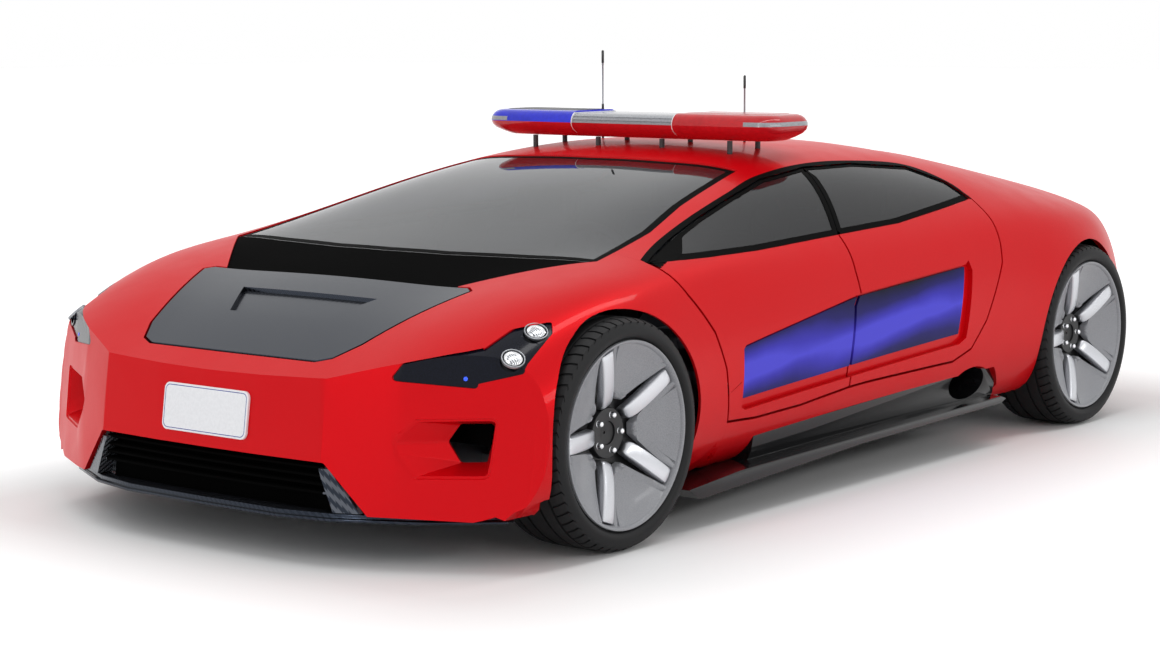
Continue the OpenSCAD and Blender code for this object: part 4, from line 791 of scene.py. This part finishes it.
def wheel(w, x, side):
    """Tyre and rim of one wheel: tread, barrel, hub, five spokes and plates, nuts."""
    body = body_of["rim_" + w]
    full = [(-a, b) for a, b in TREAD[:0:-1]] + TREAD
    step = math.tau / PITCHES
    angles = [step * k + math.radians(d) for k in range(PITCHES) for d in (0, 1.0, 1.15, 3.5, 5.85)]
    pts, faces = turned(full, cut=groove, angles=angles)
    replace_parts(piece("tread_" + w, wheel_place(pts, x, side), faces, RUBBER, body, 0.5), "tyre_" + w)
    lip = [(-121.4, 249.8), (-121.4, 264), (-119, 265.8), (-114, 265.8), (-112.8, 264.5), (-112.8, 258.8),
           (112.8, 258.8), (112.8, 264.5), (114, 265.8), (119, 265.8), (121.2, 264.6), (121.4, 262.5),
           (119.5, 258.5), (115, 255.5), (110, 253.5), (96, 251), (60, 250), (-121.4, 249.8)]
    pts, faces = turned(lip, 144)
    barrel = piece("barrel_" + w, wheel_place(pts, x, side), faces, PLATE_GREY, body, 0.7)
    well = [(20, 249.5), (80, 249.0), (88, 236), (80, 214), (62, 190), (44, 150), (30, 118), (30, 74), (44, 72),
            (47.5, 70), (48, 40), (46, 34), (40, 33), (36, 18), (34.5, 4)]
    pts, faces = turned(well, 96)
    hub = piece("hub_" + w, wheel_place(pts, x, side), faces, DARK, body, 0.5)
    stars = []
    for k in range(5):
        for kind, make, mat in (("spoke", spoke, SPOKE), ("blade", blade, PLATE_GREY)):
            v, f = make(k)
            stars.append(piece("%s_%s_%d" % (kind, w, k), wheel_place(v, x, side), f, mat, body, 0.55))
    v, f = nuts()
    stars.append(piece("nuts_" + w, wheel_place(v, x, side), f, BRIGHT, body, 0.8))
    for o in [barrel, hub] + stars:
        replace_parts(o, "rim_" + w)


for w, x, side in (("fl", HWB, 1), ("fr", HWB, -1), ("rl", -HWB, 1), ("rr", -HWB, -1)):
    wheel(w, x, side)

# Beacon bar and aerials.
BAR_X, BAR_Z = sum(v[0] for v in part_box("bar_base")) / 2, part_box("bar_base")[0][2]
BAR_HX, BAR_HY = 0.133, 0.612


def bar_shell(name, rings, y0, y1, mat, node):
    """A slice of the bar between two planes across it: rounded outlines stacked in Z."""
    verts = []
    for z, d, r in rings:
        for sx, sy, a0 in ((1, 1, 0), (-1, 1, 90), (-1, -1, 180), (1, -1, 270)):
            for k in range(9):
                a = math.radians(a0 + 11.25 * k)
                verts.append((BAR_X + sx * (BAR_HX - d - r) + r * math.cos(a),
                              sy * (BAR_HY - d - r) + r * math.sin(a), BAR_Z + z))
    mesh = bpy.data.meshes.new(name)
    mesh.from_pydata(verts, [], rings_to_faces(len(rings), 36, True, True))
    bm = bmesh.new()
    bm.from_mesh(mesh)
    for y, keep in ((y0, 1), (y1, -1)):
        cut = bmesh.ops.bisect_plane(bm, geom=bm.verts[:] + bm.edges[:] + bm.faces[:], dist=1e-6, plane_co=(0, y, 0),
                                     plane_no=(0, keep, 0), clear_inner=True)
        bmesh.ops.holes_fill(bm, edges=[e for e in cut["geom_cut"] if isinstance(e, bmesh.types.BMEdge)])
    bmesh.ops.recalc_face_normals(bm, faces=bm.faces)
    bm.to_mesh(mesh)
    bm.free()
    mesh.shade_smooth()
    mesh.set_sharp_from_angle(angle=0.7)
    mesh.materials.append(mat)
    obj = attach(link(name, mesh), "chassis")
    if node:
        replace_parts(obj, node)
    return obj


HULL = [(0.0, 0.062, 0.05), (0.003, 0.052, 0.055), (0.012, 0.032, 0.065), (0.024, 0.013, 0.07), (0.036, 0.003, 0.075),
        (0.0478, 0.0, 0.075)]
DOME = [(0.048, 0.0, 0.075), (0.056, 0.0006, 0.075), (0.066, 0.004, 0.072), (0.075, 0.010, 0.068),
        (0.082, 0.019, 0.062), (0.086, 0.030, 0.055), (0.0875, 0.044, 0.05)]
RIBS = [(0.048, 0.002, 0.07), (0.054, 0.002, 0.07), (0.055, 0.006, 0.07), (0.058, 0.006, 0.07), (0.059, 0.003, 0.07),
        (0.065, 0.006, 0.07), (0.066, 0.011, 0.07), (0.069, 0.012, 0.07), (0.070, 0.010, 0.07), (0.076, 0.018, 0.06),
        (0.080, 0.030, 0.05)]
CAP = [(0.0872, 0.052, 0.045), (0.0886, 0.054, 0.045), (0.0890, 0.060, 0.04)]
bar_shell("bar_hull", HULL, -0.7, 0.7, RED_LENS, "bar_base")
bar_shell("bar_dome_blue", DOME, -0.7, -0.2145, BLUE_LENS, "bar_blue")
bar_shell("bar_dome_red", DOME, 0.2145, 0.7, RED_LENS, "bar_red")
bar_shell("bar_middle", RIBS, -0.2115, 0.2115, LAMP_GREY, "bar_clear")
bar_shell("bar_cap_blue", CAP, -0.7, -0.235, TIP, None)
bar_shell("bar_cap_red", CAP, 0.235, 0.7, LAMP_RED, None)
for y in (-0.213, 0.213):
    rings = [(z, d - 0.0004, r) for z, d, r in HULL[2:] + DOME[1:5]]
    bar_shell("bar_line_%d" % (y > 0), rings, y - 0.0015, y + 0.0015, WHITE, None)
for side in (-1, 1):
    bar_shell("bar_end_%d" % (side > 0), [(0.050, 0.0, 0.075), (0.058, 0.0004, 0.075), (0.064, 0.003, 0.072)],
              *((0.50, 0.7) if side > 0 else (-0.7, -0.50)), LAMP_GREY, None)
paint("bar_feet", TIP)


def mast(name, x, y, z0, z1, collar):
    """An aerial with a dark foot and tip, and a dark collar on the taller one."""
    prof = [(0.0046, z0), (0.0046, z0 + 0.010), (0.0034, z0 + 0.012)]
    if collar:
        prof += [(0.0034, z1 - 0.215), (0.0046, z1 - 0.213), (0.0046, z1 - 0.190), (0.0034, z1 - 0.188)]
    prof += [(0.0034, z1 - 0.046), (0.0046, z1 - 0.044), (0.0046, z1 - 0.004), (0.0032, z1 - 0.001), (0.0005, z1)]
    n = 16
    verts = [(x + r * math.cos(a), y + r * math.sin(a), z) for r, z in prof
             for a in np.linspace(0, math.tau, n + 1)[:-1]]
    obj = piece(name, verts, rings_to_faces(len(prof), n, True, True), [GREY, TIP], "chassis")
    for p in obj.data.polygons:
        z = p.center.z
        if z > z1 - 0.045 or z < z0 + 0.011 or collar and z1 - 0.214 < z < z1 - 0.189:
            p.material_index = 1
    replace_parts(obj, "aerials")


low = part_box("aerials")[0][2]
mast("mast_left", -0.199, 0.277, low, 1.282, False)
mast("mast_right", -0.199, -0.334, low, 1.364, True)

# Nose, sills and tail.
bevelled("splitter", 0.003, CARBON)
bevelled("skirts", 0.004, GLOSS)
bevelled("diffuser", 0.008, MATTE)
bevelled("tail_lamps", 0.004, TAIL_RED)
fins = bevelled("grille", 0.0015, MATTE, 1).data
fins.materials.append(FIN)
for p in fins.polygons:
    if abs(p.center.y) > 0.432:
        p.material_index = 1
bevelled("dashboard", 0.018, LINING, 3)


def plate():
    """A rounded plate with a border line, on the lean of the CAD plate."""
    data = nodes["plate"].data
    n = max((p for p in data.polygons if p.normal.x > 0), key=lambda p: p.area).normal.copy()
    n.y = 0
    n.normalize()
    axes = (n, Vector((0, 1, 0)), n.cross(Vector((0, 1, 0))))
    flat = [Vector([v.co.dot(a) for a in axes]) for v in data.vertices]
    lo, hi = (Vector([f(v[k] for v in flat) for k in range(3)]) for f in (min, max))
    cz, hw, hh = (lo.z + hi.z) / 2, (hi.y - lo.y) / 2, (hi.z - lo.z) / 2

    def outline(d, r):
        pts = []
        for sx, sz, a0 in ((1, 1, 0), (-1, 1, 90), (-1, -1, 180), (1, -1, 270)):
            for k in range(7):
                a = math.radians(a0 + 15 * k)
                pts.append((sx * (hw - d - r) + r * math.cos(a), cz + sz * (hh - d - r) + r * math.sin(a)))
        return pts
    rings = [(0.0, 0.020, lo.x), (0.0, 0.020, hi.x - 0.0012), (0.0012, 0.019, hi.x), (0.0055, 0.0165, hi.x),
             (0.0078, 0.0145, hi.x), (0.0110, 0.012, hi.x)]
    verts = [axes[0] * x + axes[1] * y + axes[2] * z for d, r, x in rings for y, z in outline(d, r)]
    obj = piece("plate_face", verts, rings_to_faces(len(rings), 28, True, True), [WHITE, EDGE_BLUE], body_of["plate"])
    for p in obj.data.polygons:
        if len(p.vertices) == 4 and 3 * 28 <= min(p.vertices) < 4 * 28 and max(p.vertices) < 5 * 28:
            p.material_index = 1
    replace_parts(obj, "plate")


plate()


def lamp(name, at, side, r):
    """A projector: chrome ring, dark reflector bowl and a domed lens whose colour carries painted glints, square to
    the skin.
    """
    _, _, p, n = on_skin([(at[0], at[1] * side, at[2])])
    p, n = Vector(p[0]), Vector(n[0])
    up = Vector((0, 0, 1))
    e1 = up.cross(n).normalized()
    e2 = n.cross(e1)

    def rings(prof, seg=32):
        return [p + e1 * (q * math.cos(a)) + e2 * (q * math.sin(a)) - n * d for q, d in prof
                for a in np.linspace(0, math.tau, seg + 1)[:-1]]
    ring = [(r + 0.0030, 0.008), (r + 0.0030, 0.0018), (r + 0.0022, 0.0008), (r + 0.0008, 0.0006),
            (r - 0.0004, 0.0014), (r - 0.0008, 0.0048)]
    bowl = [(r * 0.86, 0.0049), (r * 0.84, 0.0026), (r * 0.80, 0.0020), (r * 0.76, 0.0026), (r * 0.68, 0.0044),
            (r * 0.62, 0.0048)]
    dome = [(r * 0.63, 0.0048), (r * 0.60, 0.0034), (r * 0.50, 0.0018), (r * 0.34, 0.0008), (r * 0.18, 0.0003),
            (r * 0.02, 0.0001)]
    piece(name + "_ring", rings(ring), rings_to_faces(len(ring), 32), GREY, "chassis")
    piece(name + "_bowl", rings(bowl), rings_to_faces(len(bowl), 32), BRIGHT, "chassis", 0.3)
    # The lens dome's dark and bright bands are painted glints, not light seen through clear glass.
    piece(name + "_lens", rings(dome), rings_to_faces(len(dome), 32, True), LAMP_BALL, "chassis", 1.2)


for side, w in ((1, "l"), (-1, "r")):
    lamp("projector_front_" + w, (1.746, 0.877, 0.565), side, 0.030)
    lamp("projector_rear_" + w, (1.636, 0.867, 0.628), side, 0.030)


LAMP_TREE = BVHTree.FromPolygons([v.co for v in cover.vertices], [p.vertices[:] for p in cover.polygons])


def dot(name, at, side, r):
    """A small marker lamp set in the lamp's black cover."""
    p, n, _, _ = LAMP_TREE.find_nearest(Vector((at[0], at[1] * side, at[2])))
    e1 = Vector((0, 0, 1)).cross(n).normalized()
    e2 = n.cross(e1)
    prof = [(r, 0.002), (r, -0.0004), (r * 0.7, -0.0011), (r * 0.3, -0.0015), (r * 0.02, -0.0016)]
    verts = [p + e1 * (q * math.cos(a)) + e2 * (q * math.sin(a)) - n * d for q, d in prof
             for a in np.linspace(0, math.tau, 17)[:-1]]
    piece(name, verts, rings_to_faces(len(prof), 16), BLUE_DOT, "chassis", 1.2)


for side, w in ((1, "l"), (-1, "r")):
    dot("marker_" + w, (1.830, 0.785, 0.522), side, 0.006)


# Seats: side outlines in shares of the seat's depth and height.
SEAT_DEEP, SEAT_TALL, SEAT_BASE = 0.48, 0.56, 0.2556
CROWN, SEAM_DEEP, SEAM_WIDE = 0.004, 0.007, 0.022
CUSHION = [(1.0, .02), (1.03, .16), (.96, .213), (.60, .168), (.22, .149), (.12, .15), (.02, .03)]
BACK = [(.125, .17), (-.02, .60), (-.19, .86), (-.245, .90), (-.365, .89), (-.24, .62), (-.08, .12), (0, .02),
        (.10, .05)]
HEAD = [(-.225, .925), (-.262, .95), (-.272, 1.12), (-.34, 1.155), (-.405, 1.09), (-.372, .915)]


def softened(poly, times=3):
    """A closed outline with its corners cut again and again."""
    p = np.array(poly, float)
    for _ in range(times):
        q = np.roll(p, -1, 0)
        p = np.stack([p * 0.75 + q * 0.25, p * 0.25 + q * 0.75], 1).reshape(-1, 2)
    return p


def pad(name, poly, x, y, half, seams, edge=0.030):
    """A crowned pad along Y from a side outline: its ends round off and its seams press in."""
    base = softened([(x + SEAT_DEEP * a, SEAT_BASE + SEAT_TALL * b) for a, b in poly])
    core = 1 - edge / half
    rings = []
    for k in range(41):
        t = math.sin(math.pi / 2 * (-1 + k / 20))
        d = CROWN * t * t
        if abs(t) > core:
            d += edge * 0.75 * (1 - math.sqrt(max(0.0, 1 - ((abs(t) - core) / (1 - core)) ** 2)))
        d += sum(SEAM_DEEP * math.exp(-((t - s) / SEAM_WIDE) ** 2) for s in seams)
        rings.append([(px, y + t * half, pz) for px, pz in inset(base, d)])
    verts, faces = lofted(rings)
    obj = piece(name, verts, faces, LEATHER, "chassis", 1.0)
    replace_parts(obj, "seats")
    return obj


for row, x in (("front", 0.16 * HWB), ("rear", -0.42 * HWB)):
    for w, y in (("l", 0.37 * HW), ("r", -0.37 * HW)):
        tag = row + "_" + w
        pad("cushion_" + tag, CUSHION, x, y, 0.239, (-0.58, -0.2, 0.2, 0.58))
        pad("back_" + tag, BACK, x, y, 0.236, (-0.6, -0.2, 0.2, 0.6))
        pad("head_" + tag, HEAD, x, y, 0.130, (-0.6, 0.6), 0.022)

# Stage, light, camera: the camera is the one fitted to the photograph.
CAM = Vector((6.65971, 5.02178, 1.46035))
FOCAL_PX, PHOTO_W, SENSOR = 2439.70, 1160, 36.0
AZ, EL, ROLL = (math.radians(a) for a in (128.5404, 7.0849, -0.2197))


def stage():
    """A pale floor that goes white away from the car, and a white studio round it."""
    me = bpy.data.meshes.new("floor")
    me.from_pydata([(-60, -60, 0), (60, -60, 0), (60, 60, 0), (-60, 60, 0)], [], [(0, 1, 2, 3)])
    floor = link("floor", me)
    m = bpy.data.materials.new("pale_floor")
    m.use_nodes = True
    t = m.node_tree
    b = t.nodes["Principled BSDF"]
    b.inputs["Base Color"].default_value = (0.93, 0.93, 0.93, 1)
    b.inputs["Roughness"].default_value = 0.6
    b.inputs["Specular IOR Level"].default_value = 0.2
    b.inputs["Emission Color"].default_value = (1, 1, 1, 1)
    at = t.nodes.new("ShaderNodeSeparateXYZ")
    t.links.new(coords(t), at.inputs[0])
    out = []
    for axis, half in (("X", 2.0), ("Y", 0.9)):
        d = math_node(t, "MAXIMUM", math_node(t, "SUBTRACT", math_node(t, "ABSOLUTE", at.outputs[axis]), half), 0.0)
        out.append(math_node(t, "MULTIPLY", d, d))
    far = math_node(t, "SQRT", math_node(t, "ADD", *out))
    grow = ramp(t, math_node(t, "DIVIDE", far, 4.0), (0.03, (0.0,) * 3), (0.22, (0.34,) * 3), (1.0, (0.60,) * 3))
    t.links.new(math_node(t, "MULTIPLY", grow, seen_rays(t)), b.inputs["Emission Strength"])
    me.materials.append(m)
    w = bpy.data.worlds.new("studio")
    bpy.context.scene.world = w
    w.use_nodes = True
    t = w.node_tree
    bg = t.nodes["Background"]
    bg.inputs["Color"].default_value = (1, 1, 1, 1)
    t.links.new(math_node(t, "MAXIMUM", 0.50, seen_rays(t)), bg.inputs["Strength"])


def seen_rays(t):
    """1 for rays that show the backdrop: camera, mirror and glass rays."""
    path = t.nodes.new("ShaderNodeLightPath")
    two = math_node(t, "MAXIMUM", path.outputs["Is Camera Ray"], path.outputs["Is Transmission Ray"])
    return math_node(t, "MAXIMUM", two, path.outputs["Is Glossy Ray"])


def area(name, at, aim, size, power, mirrored=True):
    """A soft lamp aimed at a point; one that isn't mirrored stays out of glass and gloss."""
    d = bpy.data.lights.new(name, "AREA")
    d.shape = "RECTANGLE"
    d.size, d.size_y = size
    d.energy = power
    o = bpy.data.objects.new(name, d)
    bpy.context.scene.collection.objects.link(o)
    o.location = at
    o.rotation_euler = (Vector(aim) - Vector(at)).to_track_quat("-Z", "Y").to_euler()
    o.visible_glossy = o.visible_transmission = mirrored


def camera():
    back = Vector((math.sin(AZ) * math.cos(EL), -math.cos(AZ) * math.cos(EL), math.sin(EL)))
    right = Vector((0, 0, 1)).cross(back).normalized()
    up = back.cross(right)
    r2 = right * math.cos(ROLL) + up * math.sin(ROLL)
    u2 = up * math.cos(ROLL) - right * math.sin(ROLL)
    m = Matrix((r2, u2, back)).transposed().to_4x4()
    m.translation = CAM
    d = bpy.data.cameras.new("camera")
    d.sensor_width = SENSOR
    d.lens = SENSOR * FOCAL_PX / PHOTO_W
    o = bpy.data.objects.new("camera", d)
    bpy.context.scene.collection.objects.link(o)
    o.matrix_world = m
    bpy.context.scene.camera = o


stage()
area("top_left", (0.3, 1.6, 4.6), (0, 0.3, 0.6), (7, 0.55), 75)
area("top_right", (0.3, -3.4, 4.0), (0, -0.3, 0.6), (7, 0.55), 75, False)
area("front", (6.5, 0.5, 3.2), (1.5, 0, 0.5), (0.6, 4.5), 55)
area("side", (0.5, 6, 2.6), (0, 0.8, 0.5), (7, 0.6), 70)
camera()
bpy.context.scene.view_settings.view_transform = "Standard"
